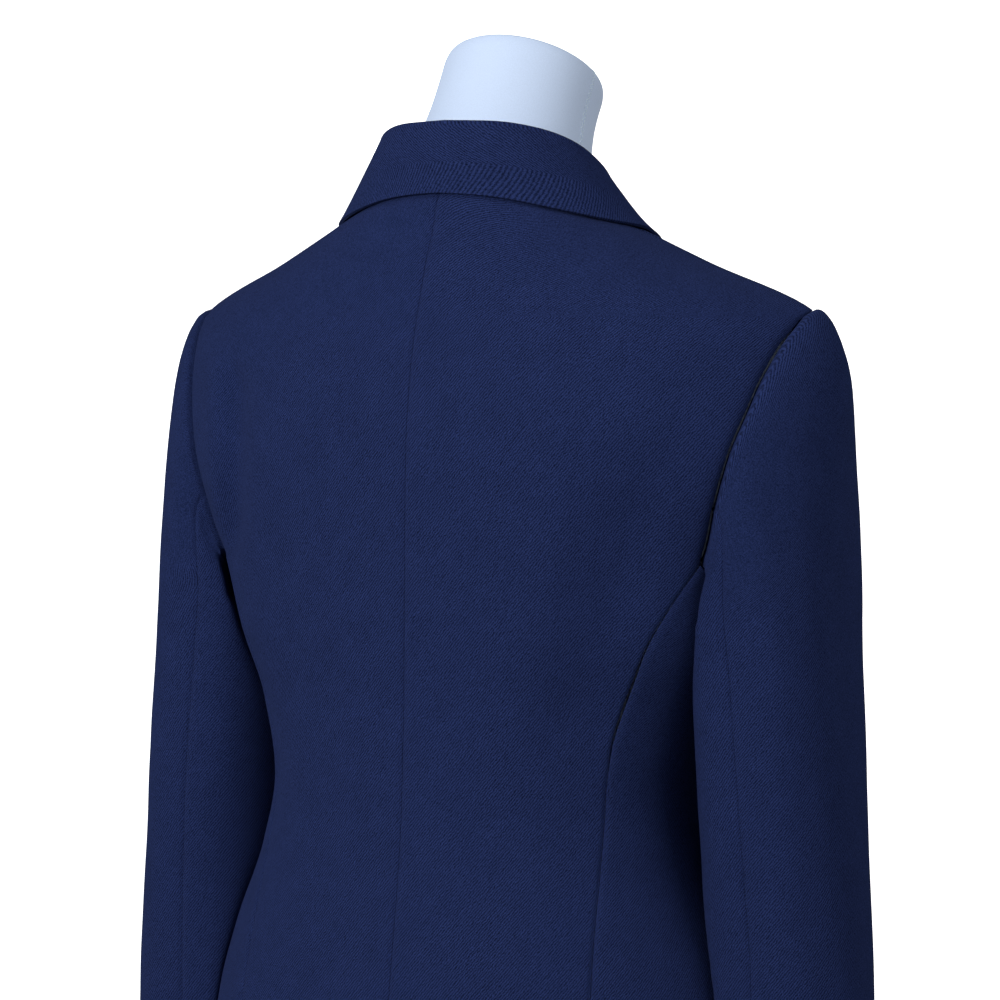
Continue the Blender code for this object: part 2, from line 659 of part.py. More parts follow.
def make_button(name, height, colour):
    """Turned button with a raised rim, on its thread shank at the centre front of the right front."""
    angle, level = front_spot(0.0, height)
    seat = body_skin(angle, level, lapped(angle, level) + WALL + LAYER_GAP)
    rim, top = BUTTON_RADIUS, SHANK_HEIGHT + BUTTON_THICKNESS
    edge = BUTTON_EDGE
    profile = ((0.0, 0.0), (SHANK_RADIUS, 0.0), (SHANK_RADIUS, SHANK_HEIGHT), (rim - edge, SHANK_HEIGHT),
               (rim, SHANK_HEIGHT + edge), (rim, top - edge), (rim - edge, top),
               (rim - 3 * edge, top), (rim - 4 * edge, top - BUTTON_DISH), (0.0, top - BUTTON_DISH))
    mesh = bmesh.new()
    verts = [mesh.verts.new((r * MM, 0.0, z * MM)) for r, z in profile]
    edges = [mesh.edges.new(pair) for pair in zip(verts, verts[1:])]
    bmesh.ops.spin(mesh, geom=verts + edges, axis=(0, 0, 1), cent=(0, 0, 0), angle=math.tau,
                   steps=BUTTON_STEPS, use_merge=True)
    bmesh.ops.remove_doubles(mesh, verts=mesh.verts, dist=0.01 * MM)
    bmesh.ops.recalc_face_normals(mesh, faces=mesh.faces)
    normal = body_normal(angle, level)
    turn = Vector((0.0, 0.0, 1.0)).rotation_difference(normal).to_matrix()
    bmesh.ops.rotate(mesh, verts=mesh.verts, matrix=turn)
    bmesh.ops.translate(mesh, verts=mesh.verts, vec=seat * MM)
    return add_object(name, mesh, colour)


def form_ring(level):
    """Ring of the dress form inside the jacket's body."""
    points = []
    for i in range(FORM_SEGMENTS):
        angle = 360.0 * i / FORM_SEGMENTS
        point = body_skin(angle, level, -WALL - form_clearance(level))
        over = abs(point.x) - FORM_SHOULDER
        if over > 0:
            point.x = math.copysign(FORM_SHOULDER + FORM_SHOULDER_ROUND
                                    * math.tanh(over / FORM_SHOULDER_ROUND), point.x)
        if level == FORM_BASE:
            point.z = FORM_BASE
        points.append(point)
    return points


def neck_ring(row):
    """Tilted round ring of the form's neck."""
    size = dict(zip(NECK_RING_COLUMNS, row))
    lean = math.radians(size["tilt"])
    points = []
    for i in range(FORM_SEGMENTS):
        turn = math.radians(360.0 * i / FORM_SEGMENTS)
        x, depth = size["radius"] * math.sin(turn), size["radius"] * math.cos(turn)
        y = size["centre"] + depth * math.cos(lean)
        points.append(Vector((x, y, size["height"] + depth * math.sin(lean))))
    return points


def make_form(name, colour):
    """Whole limbless dress form: torso with a flat base, and the neck leaning forward."""
    levels = [FORM_BASE] + SKIRT_LEVELS[::2] + WAIST_LEVELS[::2] + YOKE_LEVELS[1:]
    rings = [form_ring(level) for level in levels]
    rings += [neck_ring(row) for row in NECK_RINGS]
    mesh = bmesh.new()
    rows = [[mesh.verts.new(p * MM) for p in points] for points in rings]
    for lower, upper in zip(rows, rows[1:]):
        for i in range(FORM_SEGMENTS):
            j = (i + 1) % FORM_SEGMENTS
            mesh.faces.new((lower[i], lower[j], upper[j], upper[i]))
    mesh.faces.new(rows[0][::-1])
    mesh.faces.new(rows[-1])
    bmesh.ops.recalc_face_normals(mesh, faces=mesh.faces)
    return add_object(name, mesh, colour)


# Scene


def clear_scene():
    """Remove every object."""
    for thing in list(bpy.data.objects):
        bpy.data.objects.remove(thing, do_unlink=True)


def material(name, colour, roughness):
    """Return the named material."""
    found = bpy.data.materials.get(name) or bpy.data.materials.new(name)
    found.use_nodes = True
    shader = found.node_tree.nodes["Principled BSDF"]
    shader.inputs["Base Color"].default_value = (*colour, 1.0)
    shader.inputs["Roughness"].default_value = roughness
    return found


def add_object(name, mesh, surface):
    """Turn a built mesh into an object of the jacket's collection, moved to the frame's origin."""
    bmesh.ops.translate(mesh, verts=mesh.verts, vec=(0.0, DEPTH_SHIFT * MM, 0.0))
    data = bpy.data.meshes.new(name)
    mesh.to_mesh(data)
    mesh.free()
    data.materials.append(surface)
    thing = bpy.data.objects.new(name, data)
    collection().objects.link(thing)
    return thing


def collection():
    """Collection that holds the pieces."""
    found = bpy.data.collections.get("three_button_blazer")
    if found is None:
        found = bpy.data.collections.new("three_button_blazer")
        bpy.context.scene.collection.children.link(found)
    return found


def main():
    clear_scene()
    wool = material("navy_wool", (0.014, 0.022, 0.085), 0.9)
    horn = material("button_horn", (0.02, 0.022, 0.035), 0.35)
    cover = material("form_cover", (0.60, 0.70, 0.86), 0.85)
    for label, side in (("left", 1.0), ("right", -1.0)):
        make_back(f"back_{label}", side, wool)
        make_side(f"side_{label}", side, wool)
        make_front(f"front_{label}", side, wool)
        make_lapel(f"lapel_{label}", side, wool)
        make_sleeve(f"top_sleeve_{label}", side, FRONT_SEAM_ANGLE - 360.0, BACK_SEAM_ANGLE,
                    TOP_SLEEVE_COLUMNS, wool)
        make_sleeve(f"under_sleeve_{label}", side, BACK_SEAM_ANGLE, FRONT_SEAM_ANGLE,
                    UNDER_SLEEVE_COLUMNS, wool)
    make_collar("collar", wool)
    for name, height in BUTTON_HEIGHTS.items():
        make_button(name, height, horn)
    make_form("dress_form", cover)


main()
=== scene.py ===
"""Three-button blazer on a limbless dress form: cloth, buttons, the form's cover and a studio.

Sizes in the tables are in millimetres. The wearer faces -Y, so +X is the wearer's left and +Y the back.
"""
import math
from bisect import bisect_right

import bmesh
import bpy
from bpy.props import FloatProperty, FloatVectorProperty, IntProperty, PointerProperty
from mathutils import Matrix, Vector, noise


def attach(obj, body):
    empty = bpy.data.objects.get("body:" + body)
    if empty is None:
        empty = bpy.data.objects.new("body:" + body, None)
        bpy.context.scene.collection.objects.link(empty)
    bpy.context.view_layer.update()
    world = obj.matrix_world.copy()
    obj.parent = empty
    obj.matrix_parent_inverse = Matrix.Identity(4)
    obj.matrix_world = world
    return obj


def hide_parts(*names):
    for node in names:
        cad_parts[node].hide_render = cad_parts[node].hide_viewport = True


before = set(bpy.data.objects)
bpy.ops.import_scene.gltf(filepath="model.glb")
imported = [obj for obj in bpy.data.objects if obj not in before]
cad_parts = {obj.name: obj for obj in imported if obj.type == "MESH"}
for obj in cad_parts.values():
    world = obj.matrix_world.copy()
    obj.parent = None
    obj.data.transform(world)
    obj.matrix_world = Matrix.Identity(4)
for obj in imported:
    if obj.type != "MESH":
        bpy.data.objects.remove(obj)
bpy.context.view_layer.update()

bl_info = {
    "name": "Three-button blazer",
    "version": (1, 0, 0),
    "blender": (4, 5, 0),
    "location": "3D View > Sidebar > Blazer",
    "description": "Builds the cloth, buttons, dress form and studio of a tailored blazer",
    "category": "Object",
}

MM = 0.001
DEPTH_SHIFT = -25.9         # brings the middle of the whole to the origin

# Cloth
WALL = 2.0                  # cloth with its interlining
SEAM_GAP = 0.15             # between two pieces at a seam
LAYER_GAP = 0.9             # between two cloth layers that lie on each other
OVERLAP = 18.0              # each front runs this far past the centre front

# Heights
FORM_BASE = 0.0
HEM = 70.0
CUFF = 46.0
UNDERARM = 468.0            # lowest point of the armhole
ARMHOLE_CORNER = 482.0      # where the side seams meet the armhole
SHOULDER = 634.5
NAPE = 717.0

# Body of the jacket: one ring for each level. level is the height at the centre back; side and front
# are the heights of the same ring at the side and at the centre front. half_width, back and fore are the
# reach from the ring's centre line, centre is that line's place, square and bend shape its corners.
RING_COLUMNS = ("level", "side", "front", "half_width", "back", "fore", "centre", "square", "bend")
RINGS = (
    (FORM_BASE, 0, 0, 193, 139, 136, 28, 2.3, 0.5),
    (HEM, 70, 62, 193, 138.5, 136, 28, 2.3, 0.5),
    (140, 140, 136, 189.5, 135, 133, 28, 2.3, 0.5),
    (200, 200, 200, 181, 129.5, 127, 28, 2.3, 0.5),
    (250, 250, 250, 167, 122.5, 119, 28, 2.3, 0.5),
    (300, 300, 300, 148.5, 115.5, 113.5, 27, 2.3, 0.5),
    (340, 340, 340, 140.5, 112.5, 112, 26, 2.3, 0.5),
    (390, 390, 390, 151, 113, 116, 23, 2.35, 0.5),
    (435, 435, 435, 171, 116, 121, 19.5, 2.45, 0.5),
    (485, 485, 485, 187, 118.5, 122, 16, 2.55, 0.5),
    (520, 520, 517, 205, 118, 119, 16, 2.5, 0.5),
    (556, 556, 549, 220, 118.5, 107, 14, 2.5, 0.55),
    (592, 592, 578, 223, 116.3, 92, 12, 2.4, 0.6),
    (613, 612.5, 592, 222, 113, 83, 11, 2.3, 0.65),
    (630, 628.5, 602, 217.5, 109.5, 75, 10, 2.2, 0.7),
    (SHOULDER, 634.5, 606, 212, 107.5, 71.5, 10.5, 2.2, 0.72),
    (665, 662.5, 620.5, 150, 86, 77.5, 21.5, 2.15, 0.64),
    (692, 683.5, 632.5, 105, 70, 82.5, 27, 2.05, 0.56),
    (NAPE, 697.5, 640, 72, 68, 65, 14.5, 2, 0.5),
)

RIDGE_BLEND = 8.0           # degrees on each side of the shoulder seam
NORMAL_STEP = (0.5, 0.8)    # degrees and level to each side, from which a normal is taken

# Seams of the body, as half widths at each level
SEAM_COLUMNS = ("level", "half_width")
SIDE_BACK_SEAM = (
    (HEM, 124.5), (200, 121.5), (250, 119), (300, 116.5), (340, 115.5), (370, 119),
    (390, 124.5), (415, 134), (435, 142), (465, 157.5), (ARMHOLE_CORNER, 168),
)
SIDE_FRONT_SEAM = ((HEM, 146), (200, 138), (340, 112), (435, 136), (ARMHOLE_CORNER, 155))
ARMHOLE_BACK = (
    (ARMHOLE_CORNER, 168), (498, 173.4), (514.5, 178.2), (538, 185.1), (556, 190), (574, 195.5),
    (592, 200.2), (613, 206), (630, 211), (SHOULDER, 212),
)
ARMHOLE_FRONT = (
    (ARMHOLE_CORNER, 155), (500, 160), (520, 165), (556, 175), (592, 188), (613, 197),
    (630, 206), (SHOULDER, 212),
)

# Front opening: the roll line runs straight from the neck to the break above the top button. Places on
# a front are given as (distance from the centre front, height).
ROLL_NECK = (55.0, 672.5)
BREAK = (-OVERLAP, 455.0)
GORGE_HEIGHT = 638.0        # where the seam of collar and lapel meets the roll line
NOTCH = (90.0, 622.0)       # inner corner of the notch
LAPEL_POINT = (122.0, 607.0)
LAPEL_BELLY = 9.0           # how far the lapel's edge bows out
LAPEL_FOOT = 3.0            # width that the lapel keeps at the break
FRONT_CORNER = 80.0         # radius of the rounded lower corner of each front

# Collar: one row for each station from the centre back to the front end. seam is on the neck edge of the
# body (ring angle and level), roll the fold at the top, and edge the lower rim that lies on the body.
COLLAR_COLUMNS = ("station", "seam_angle", "seam_level", "roll_x", "roll_y", "roll_z",
                  "edge_angle", "edge_level")
COLLAR = (
    (0, 0, 717, 0, 83.5, 748.5, 0, 704),
    (1, 25, 717, 31, 77, 747.5, 24, 703),
    (2, 50, 717, 56, 58.5, 742.5, 48, 699.5),
    (3, 72, 717, 69.5, 34.5, 732.5, 69, 695.5),
    (4, 92, 717, 72.5, 10.5, 720, 88, 692),
    (5, 110, 717, 67, -12, 703, 103, 688),
    (6, 131, 717, 55, -31, 681, 115, 683.5),
    (7, 150, 705, 45, -45.8, 660, 125, 675),
    (8, 160, 685, 39, -54.3, 640.5, 133, 666.5),
)
LAST_STATION = 8.0
ON_BODY = (4.0, 6.5)        # between these stations the fall comes to lie on the front
ROLL_ROUND = 1.6            # radius of the fold, to the middle of the cloth
STAND_FOOT = 2.0            # the stand starts this far above the middle of the body's neck edge
NOTCH_SHARE = 0.55          # share of the collar's end that is sewn to the lapel

# Sleeve: one ring for each height, from the upper arm to the cuff
SLEEVE_COLUMNS = ("height", "inner", "outer", "fore", "back", "square")
SLEEVE = (
    (CUFF, 166, 256.5, -21, 68, 2.2),
    (100, 160, 256.5, -23.5, 70.5, 2.25),
    (198, 153, 255.2, -28, 73.2, 2.3),
    (240, 153.5, 253.3, -32, 73.8, 2.3),
    (300, 152, 247.6, -39.9, 76.5, 2.3),
    (345, 149.9, 243.8, -43.2, 78, 2.4),
    (375, 149.2, 240.7, -45.5, 78, 2.6),
    (415, 147.5, 236.7, -48.3, 77.6, 2.8),
    (452, 143.5, 233.7, -53.7, 77.8, 2.9),
)
UPPER_ARM = 452.0
BACK_SEAM_ANGLE = 92.0      # round the sleeve from its outer side, through the back
FRONT_SEAM_ANGLE = 250.0
BACK_SEAM_LEVEL = 516.0     # where the back seam meets the armhole
FRONT_SEAM_LEVEL = 505.0
SLEEVE_CLEARANCE = 1.5      # the sleeve hangs this far from the body where it lies along it
PRESS = 5.0                 # how softly the sleeve bends round the body
HEAD_CLEAR = 0.4            # share of the sleeve head over which that clearance opens
SLEEVE_START = -0.25        # the sleeve starts this far outside the armhole's edge, here just in it

# How the sleeve leaves the armhole, round the sleeve: rise is the slope it starts with, and the pulls are
# the lengths of its curve's handles at the armhole and at the upper arm
SLEEVE_SETTING_COLUMNS = ("angle", "rise", "pull_start", "pull_end")
SLEEVE_SETTING = (
    (0, 0.2, 97, 154), (50, 0, 44, 80), (92, -0.1, 36, 56), (140, 0.1, 16, 24),
    (180, 0.15, 10, 14), (220, 0.1, 16, 24), (250, -0.1, 30, 50),
    (305, 0, 77, 112), (360, 0.2, 97, 154),
)

# Buttons
BUTTON_RADIUS = 10.5
BUTTON_THICKNESS = 3.4
BUTTON_EDGE = 0.8           # rounding of the rim
BUTTON_DISH = 0.7           # the face lies this far below the rim
SHANK_RADIUS = 2.2
SHANK_HEIGHT = 1.6
BUTTON_HEIGHTS = {"button_top": 437.0, "button_middle": 343.0, "button_bottom": 249.0}

# Dress form
FORM_CLEARANCE_COLUMNS = ("level", "clearance")
FORM_CLEARANCE = ((FORM_BASE, 9), (HEM, 9), (200, 8), (340, 8), (485, 5), (592, 3),
                  (SHOULDER, 1.9), (NAPE, 1))
FORM_SHOULDER = 186.0       # beyond this half width the form rounds down to its shoulder end
FORM_SHOULDER_ROUND = 12.0
NECK_RING_COLUMNS = ("height", "centre", "radius", "tilt")
NECK_RINGS = (
    (711, 14, 64, 8),
    (720, 11.5, 59.5, 10),
    (731, 7, 55.8, 13),
    (744, 0, 53.2, 17),
    (757, -7.5, 51.8, 21),
    (768, -14, 51.5, 25),
    (775.5, -18.6, 51.6, 27.5),
    (781, -22, 50.6, 28),
    (783.8, -23.6, 46, 28),
    (786.2, -25, 30, 28),
)


def curve(table, column=1):
    """Return the smooth curve through a table, from its first column to another, never overshooting."""
    xs = [row[0] for row in table]
    ys = [row[column] for row in table]
    steps = [b - a for a, b in zip(xs, xs[1:])]
    slopes = [(b - a) / step for a, b, step in zip(ys, ys[1:], steps)]
    bends = [slopes[0]]
    for before, after in zip(slopes, slopes[1:]):
        bends.append(0.0 if before * after <= 0 else 2 * before * after / (before + after))
    bends.append(slopes[-1])

    def value(x):
        x = min(max(x, xs[0]), xs[-1])
        i = min(bisect_right(xs, x) - 1, len(steps) - 1)
        h = steps[i]
        t = (x - xs[i]) / h
        return ((1 + 2 * t) * (1 - t) ** 2 * ys[i] + t * (1 - t) ** 2 * h * bends[i]
                + t * t * (3 - 2 * t) * ys[i + 1] + t * t * (t - 1) * h * bends[i + 1])

    return value


def curves(table, columns):
    """Return a curve for each named column of a table."""
    return {name: curve(table, i) for i, name in enumerate(columns) if i}


ring = curves(RINGS, RING_COLUMNS)
side_back = curves(SIDE_BACK_SEAM, SEAM_COLUMNS)["half_width"]
side_front = curves(SIDE_FRONT_SEAM, SEAM_COLUMNS)["half_width"]
armhole_back = curves(ARMHOLE_BACK, SEAM_COLUMNS)["half_width"]
armhole_front = curves(ARMHOLE_FRONT, SEAM_COLUMNS)["half_width"]
collar_line = curves(COLLAR, COLLAR_COLUMNS)
sleeve_ring = curves(SLEEVE, SLEEVE_COLUMNS)
form_clearance = curves(FORM_CLEARANCE, FORM_CLEARANCE_COLUMNS)["clearance"]
setting = curves(SLEEVE_SETTING, SLEEVE_SETTING_COLUMNS)


def body_point(angle, level):
    """Point of the jacket's body: angle in degrees from the centre back towards the wearer's left."""
    turn = math.radians(angle)
    across, along = math.sin(turn), math.cos(turn)
    reach = abs(across) ** (2.0 / ring["square"](level))
    x = math.copysign(ring["half_width"](level) * reach, across)
    depth = ring["back"](level) if along > 0 else ring["fore"](level)
    y = ring["centre"](level) + math.copysign(depth * abs(along) ** (2.0 * ring["bend"](level)), along)
    end = level if along > 0 else ring["front"](level)
    z = end + (ring["side"](level) - end) * reach * reach
    return Vector((x, y, z))


def body_normal(angle, level):
    """Outward normal of the body. Near the shoulder's ridge it turns to the ridge's own normal."""
    ridge = 90.0 if angle < 180.0 else 270.0
    off = angle - ridge
    if abs(off) < RIDGE_BLEND:
        angle = ridge + off * abs(off) / RIDGE_BLEND
    level = min(max(level, 1.0), NAPE - 1.0)
    turn, rise = NORMAL_STEP
    aside = body_point(angle + turn, level) - body_point(angle - turn, level)
    return (body_point(angle, level + rise) - body_point(angle, level - rise)).cross(aside).normalized()


def body_skin(angle, level, lift):
    """Point lifted off the body along its normal."""
    return body_point(angle, level) + body_normal(angle, level) * lift


def angle_at(half_width, level, front):
    """Angle of the body's point at a distance from the middle line."""
    share = min(half_width / ring["half_width"](level), 1.0)
    turn = math.degrees(math.asin(share ** (ring["square"](level) / 2.0)))
    return 180.0 - turn if front else turn


def smooth_step(low, high, value):
    """Share from 0 to 1 that turns smoothly between two limits."""
    t = min(max((value - low) / (high - low), 0.0), 1.0)
    return t * t * (3.0 - 2.0 * t)


def mix(a, b, share):
    """Value between two others."""
    return a + (b - a) * share


def front_spot(x, height):
    """Angle and level of the point of a front at a distance from the centre front and a height."""
    low, high = HEM, NAPE
    for _ in range(40):
        level = (low + high) / 2.0
        too_far = abs(x) >= ring["half_width"](level)
        if too_far or body_point(angle_at(abs(x), level, True), level).z > height:
            high = level
        else:
            low = level
    angle = angle_at(abs(x), level, True)
    return (angle if x >= 0 else 360.0 - angle), level


def roll_x(height):
    """Distance of the roll line from the centre front at a height."""
    slope = (ROLL_NECK[0] - BREAK[0]) / (ROLL_NECK[1] - BREAK[1])
    return BREAK[0] + (height - BREAK[1]) * slope


def roll_angle(level):
    """Angle of the roll line on a ring."""
    x = roll_x(ring["front"](level))
    for _ in range(12):
        angle = angle_at(abs(x), level, True)
        x = roll_x(body_point(angle, level).z)
    return angle if x >= 0 else 360.0 - angle


def away(angle, level, gap):
    """Angle of the point on the same ring at a signed distance from a seam."""
    start = body_point(angle, level)
    near, far = 0.0, math.copysign(12.0, gap)
    for _ in range(30):
        middle = (near + far) / 2.0
        if (body_point(angle + middle, level) - start).length < abs(gap):
            near = middle
        else:
            far = middle
    return angle + far


def front_edge(level):
    """Angle of a front's free edge: the roll line above the break, and the lapped edge below it."""
    if level > BREAK[1]:
        return roll_angle(level)
    x = BREAK[0]
    drop = HEM + FRONT_CORNER - level
    if drop > 0:
        x += FRONT_CORNER - math.sqrt(max(FRONT_CORNER ** 2 - drop ** 2, 0.0))
    angle = angle_at(abs(x), level, True)
    return angle if x >= 0 else 360.0 - angle


def back_boundary(level):
    """Angle of the back's outer edge: side-back seam, then armhole, then shoulder seam."""
    if level <= ARMHOLE_CORNER:
        return angle_at(side_back(level), level, False)
    return 90.0 if level >= SHOULDER else angle_at(armhole_back(level), level, False)


def front_boundary(level):
    """Angle of the front's outer edge: side-front seam, then armhole, then shoulder seam."""
    if level <= ARMHOLE_CORNER:
        return angle_at(side_front(level), level, True)
    return 90.0 if level >= SHOULDER else angle_at(armhole_front(level), level, True)


def underarm(share):
    """Level of the side body's top edge, from the side-back seam (0) to the side-front seam (1)."""
    return ARMHOLE_CORNER - (ARMHOLE_CORNER - UNDERARM) * math.sin(math.pi * share) ** 0.8


def lapped(angle, level):
    """Lift of the right front's inner face, which rises over the left front and its lapel."""
    x = abs(body_point(angle, level).x) * (1.0 if angle <= 180.0 else -1.0)
    near_edge = 1.0 - smooth_step(20.0, 85.0, x)
    layers = 1.0 + smooth_step(396.0, 438.0, level)
    below_chest = 1.0 - smooth_step(520.0, 612.0, level)
    return -WALL + near_edge * layers * below_chest * (WALL + LAYER_GAP)


def shares(count):
    """Evenly spaced shares from 0 to 1."""
    return [i / count for i in range(count + 1)]


def between(low, high, count):
    """Evenly spaced values, both ends included."""
    return [mix(low, high, share) for share in shares(count)]


def lapel_spot(along, across):
    """Angle and level on a lapel: along from the gorge (0) to the break (1), across from the roll line."""
    height = mix(GORGE_HEIGHT - 1.0, BREAK[1] + 1.0, along)
    x = roll_x(height)
    width = (LAPEL_POINT[0] - roll_x(GORGE_HEIGHT)) * (1.0 - along) + LAPEL_FOOT * along
    width += LAPEL_BELLY * math.sin(math.pi * along)
    fall = (LAPEL_POINT[1] - GORGE_HEIGHT) * (1.0 - along)
    return front_spot(x + width * across, height + fall * across)


def armhole_loop():
    """Places round the armhole, as angle and level, from the shoulder down the back and up the front."""
    spots = []
    for i in range(60):
        level = mix(SHOULDER, ARMHOLE_CORNER, i / 60)
        spots.append((back_boundary(level), level))
    for i in range(41):
        share = i / 40
        level = underarm(share)
        spots.append((mix(back_boundary(level), front_boundary(level), share), level))
    for i in range(1, 61):
        level = mix(ARMHOLE_CORNER, SHOULDER, i / 60)
        spots.append((front_boundary(level), level))
    return spots


def anchored_loop():
    """Places on the armhole for the sleeve's angles, by distance along the armhole between anchors."""
    spots = armhole_loop()
    points = [body_point(a, v) for a, v in spots]
    run = [0.0]
    for before, after in zip(points, points[1:]):
        run.append(run[-1] + (after - before).length)
    back = min(range(60), key=lambda i: abs(spots[i][1] - BACK_SEAM_LEVEL))
    front = min(range(101, 161), key=lambda i: abs(spots[i][1] - FRONT_SEAM_LEVEL))
    anchors = ((0.0, run[0]), (BACK_SEAM_ANGLE, run[back]), (180.0, run[80]),
               (FRONT_SEAM_ANGLE, run[front]), (360.0, run[-1]))
    return points, run, curve(anchors)


LOOP_POINTS, LOOP_RUN, loop_distance = anchored_loop()


def beside_body(x, y, height, clearance):
    """Keep a point of the sleeve outside the body: return its distance from the middle line."""
    level = min(height, NAPE)
    depth = y - ring["centre"](level)
    along = abs(depth) / (ring["back"](level) if depth > 0 else ring["fore"](level))
    if along >= 1.0:
        return x
    across = math.sqrt(1.0 - along ** (1.0 / ring["bend"](level)))
    limit = ring["half_width"](level) * across ** (2.0 / ring["square"](level)) + clearance
    over = x - limit
    return limit + (over + math.hypot(over, PRESS)) / 2.0


def sleeve_tube(angle, height):
    """Point of the sleeve below the armhole. The angle starts at the outer side and runs by the back."""
    turn = math.radians(angle)
    across, along = math.cos(turn), math.sin(turn)
    power = 2.0 / sleeve_ring["square"](height)
    inner, outer = sleeve_ring["inner"](height), sleeve_ring["outer"](height)
    fore, back = sleeve_ring["fore"](height), sleeve_ring["back"](height)
    x = (inner + outer) / 2 + math.copysign(abs(across) ** power, across) * (outer - inner) / 2
    y = (fore + back) / 2 + math.copysign(abs(along) ** power, along) * (back - fore) / 2
    return Vector((beside_body(x, y, height, SLEEVE_CLEARANCE), y, height))


def sleeve_head(angle, share):
    """Point of the sleeve between the armhole (share 0) and the upper arm (share 1)."""
    angle %= 360.0
    distance = loop_distance(angle)
    i = min(bisect_right(LOOP_RUN, distance), len(LOOP_RUN) - 1)
    part = (distance - LOOP_RUN[i - 1]) / (LOOP_RUN[i] - LOOP_RUN[i - 1])
    turn = math.radians(angle)
    leave = Vector((1.0, 0.5 * math.sin(turn), setting["rise"](angle))).normalized()
    start = mix(LOOP_POINTS[i - 1], LOOP_POINTS[i], part) + leave * SLEEVE_START
    end = sleeve_tube(angle, UPPER_ARM)
    below = sleeve_tube(angle, UPPER_ARM - 6.0)
    down = (below - end).normalized()
    t = share
    leave *= setting["pull_start"](angle)
    down *= setting["pull_end"](angle)
    point = ((2 * t ** 3 - 3 * t ** 2 + 1) * start + (t ** 3 - 2 * t ** 2 + t) * leave
             + (3 * t ** 2 - 2 * t ** 3) * end + (t ** 3 - t ** 2) * down)
    apart = smooth_step(0.0, HEAD_CLEAR, share)
    point.x = mix(point.x, beside_body(point.x, point.y, point.z, SLEEVE_CLEARANCE), apart)
    return point


def sleeve_point(angle, run):
    """Point of the sleeve: run is 0 at the armhole, 1 at the upper arm and 2 at the cuff."""
    if run <= 1.0:
        return sleeve_head(angle, max(run, 0.0))
    return sleeve_tube(angle, mix(UPPER_ARM, CUFF, run - 1.0))


def sleeve_away(angle, run, gap):
    """Angle of the point at a signed distance from a seam of the sleeve."""
    rate = (sleeve_point(angle + 0.5, run) - sleeve_point(angle - 0.5, run)).length
    return angle + gap / rate


# Fine pieces

# Creases: each one is a soft trough. place is its line, as the half width at each level; inner and outer
# are its widths towards the middle and away from it; depth is at its deepest; low and high are where it
# ends, over fade.
CREASES = {
    "back_left": (
        (((470, 155), (480, 152), (512, 145), (544, 141), (576, 143), (620, 153)),
         20, 8.5, 8, 484, 600, 36),
        (((480, 165), (512, 159), (544, 157), (584, 162), (620, 176)),
         8, 12, -1.8, 490, 600, 34),
        (((360, 76), (440, 84), (520, 98)), 24, 26, 1.6, 372, 520, 60),
        (((200, 60), (300, 52), (400, 64)), 20, 24, 1, 210, 390, 60),
    ),
    "back_right": (
        (((360, 106), (400, 113), (460, 126), (540, 146)), 27, 20, 5.4, 376, 536, 60),
        (((360, 76), (400, 82), (460, 90), (540, 102)), 18, 12, -1.2, 380, 530, 56),
        (((480, 146), (520, 154), (584, 170), (620, 184)), 20, 20, 1.8, 480, 606, 36),
        (((180, 70), (300, 60), (360, 66)), 22, 20, 1, 190, 340, 60),
    ),
    "front_left": (
        (((480, 130), (520, 138), (584, 158), (620, 176)), 9, 13, 3.8, 488, 606, 30),
        (((300, 84), (340, 80), (400, 88)), 26, 22, 1.8, 296, 404, 44),
        (((400, 52), (440, 66), (480, 84)), 12, 16, 1.5, 404, 476, 30),
    ),
    "front_right": (
        (((480, 132), (520, 141), (584, 160), (620, 178)), 10, 12, 3.4, 490, 600, 30),
        (((290, 78), (340, 76), (410, 84)), 22, 26, 1.9, 294, 412, 44),
        (((404, 50), (440, 62), (484, 82)), 14, 15, 1.4, 406, 480, 30),
    ),
    "side_left": (
        (((200, 176), (320, 150), (400, 160)), 18, 18, 1.2, 260, 400, 50),
    ),
    "side_right": (
        (((200, 176), (320, 150), (400, 160)), 18, 18, 1.3, 250, 390, 50),
    ),
}

# Creases of the sleeves: angle and height of the middle, half lengths round the sleeve and along it, slope,
# and depth
SLEEVE_CREASES = {
    "left": (
        (250, 318, 46, 10, 0.25, 2.4), (242, 348, 38, 10, 0.3, 2),
        (256, 286, 34, 9, 0.2, 1.6), (128, 470, 22, 30, 0, 1.6),
        (30, 250, 30, 70, 0, 1), (60, 420, 26, 60, 0, 1.4),
        (330, 400, 24, 70, 0, 1.2),
    ),
    "right": (
        (248, 322, 42, 10, 0.28, 2.3), (254, 352, 36, 9, 0.22, 1.9),
        (246, 292, 38, 9, 0.25, 1.7), (126, 474, 24, 28, 0, 1.6),
        (46, 470, 16, 90, 0, 1.5), (44, 250, 17, 90, 0, 1.6),
        (330, 260, 26, 90, 0, 1.2), (12, 590, 70, 34, 0, -2.6),
    ),
}

# Angle and height of the middle, half widths round and along, and rise
UNDERARM_SWELL = (166.0, 474.0, 56.0, 24.0, 3.8)
SEAM_DIP = 0.95             # how far the cloth sinks at a pressed seam
SEAM_REACH = 1.6            # and how far from it the dip fades out
ARMHOLE_DIP = 1.7           # the same beside the armhole, on the body
ARMHOLE_REACH = 4.2
ROPE = 0.6                  # rise of the sleeve head beside the armhole seam
ROPE_AT = 5.5               # its place and half width, from the seam
ROPE_WIDTH = 4.0
RIPPLE = ((95.0, 0.55), (34.0, 0.20))   # size and height of the cloth's slight unevenness
RIPPLE_SEED = {"back": 3.0, "side": 17.0, "front": 29.0, "lapel": 41.0, "collar": 53.0, "sleeve": 67.0}
CALM = 14.0                 # the unevenness starts over this distance from an edge
COLLAR_CALM = 8.0
EDGE_STEPS = (0.0, 0.8, 1.7, 2.8, 4.4, 7.0)   # first rows and columns beside a seam
WELD = 1e-6                 # metres: points closer than this become one
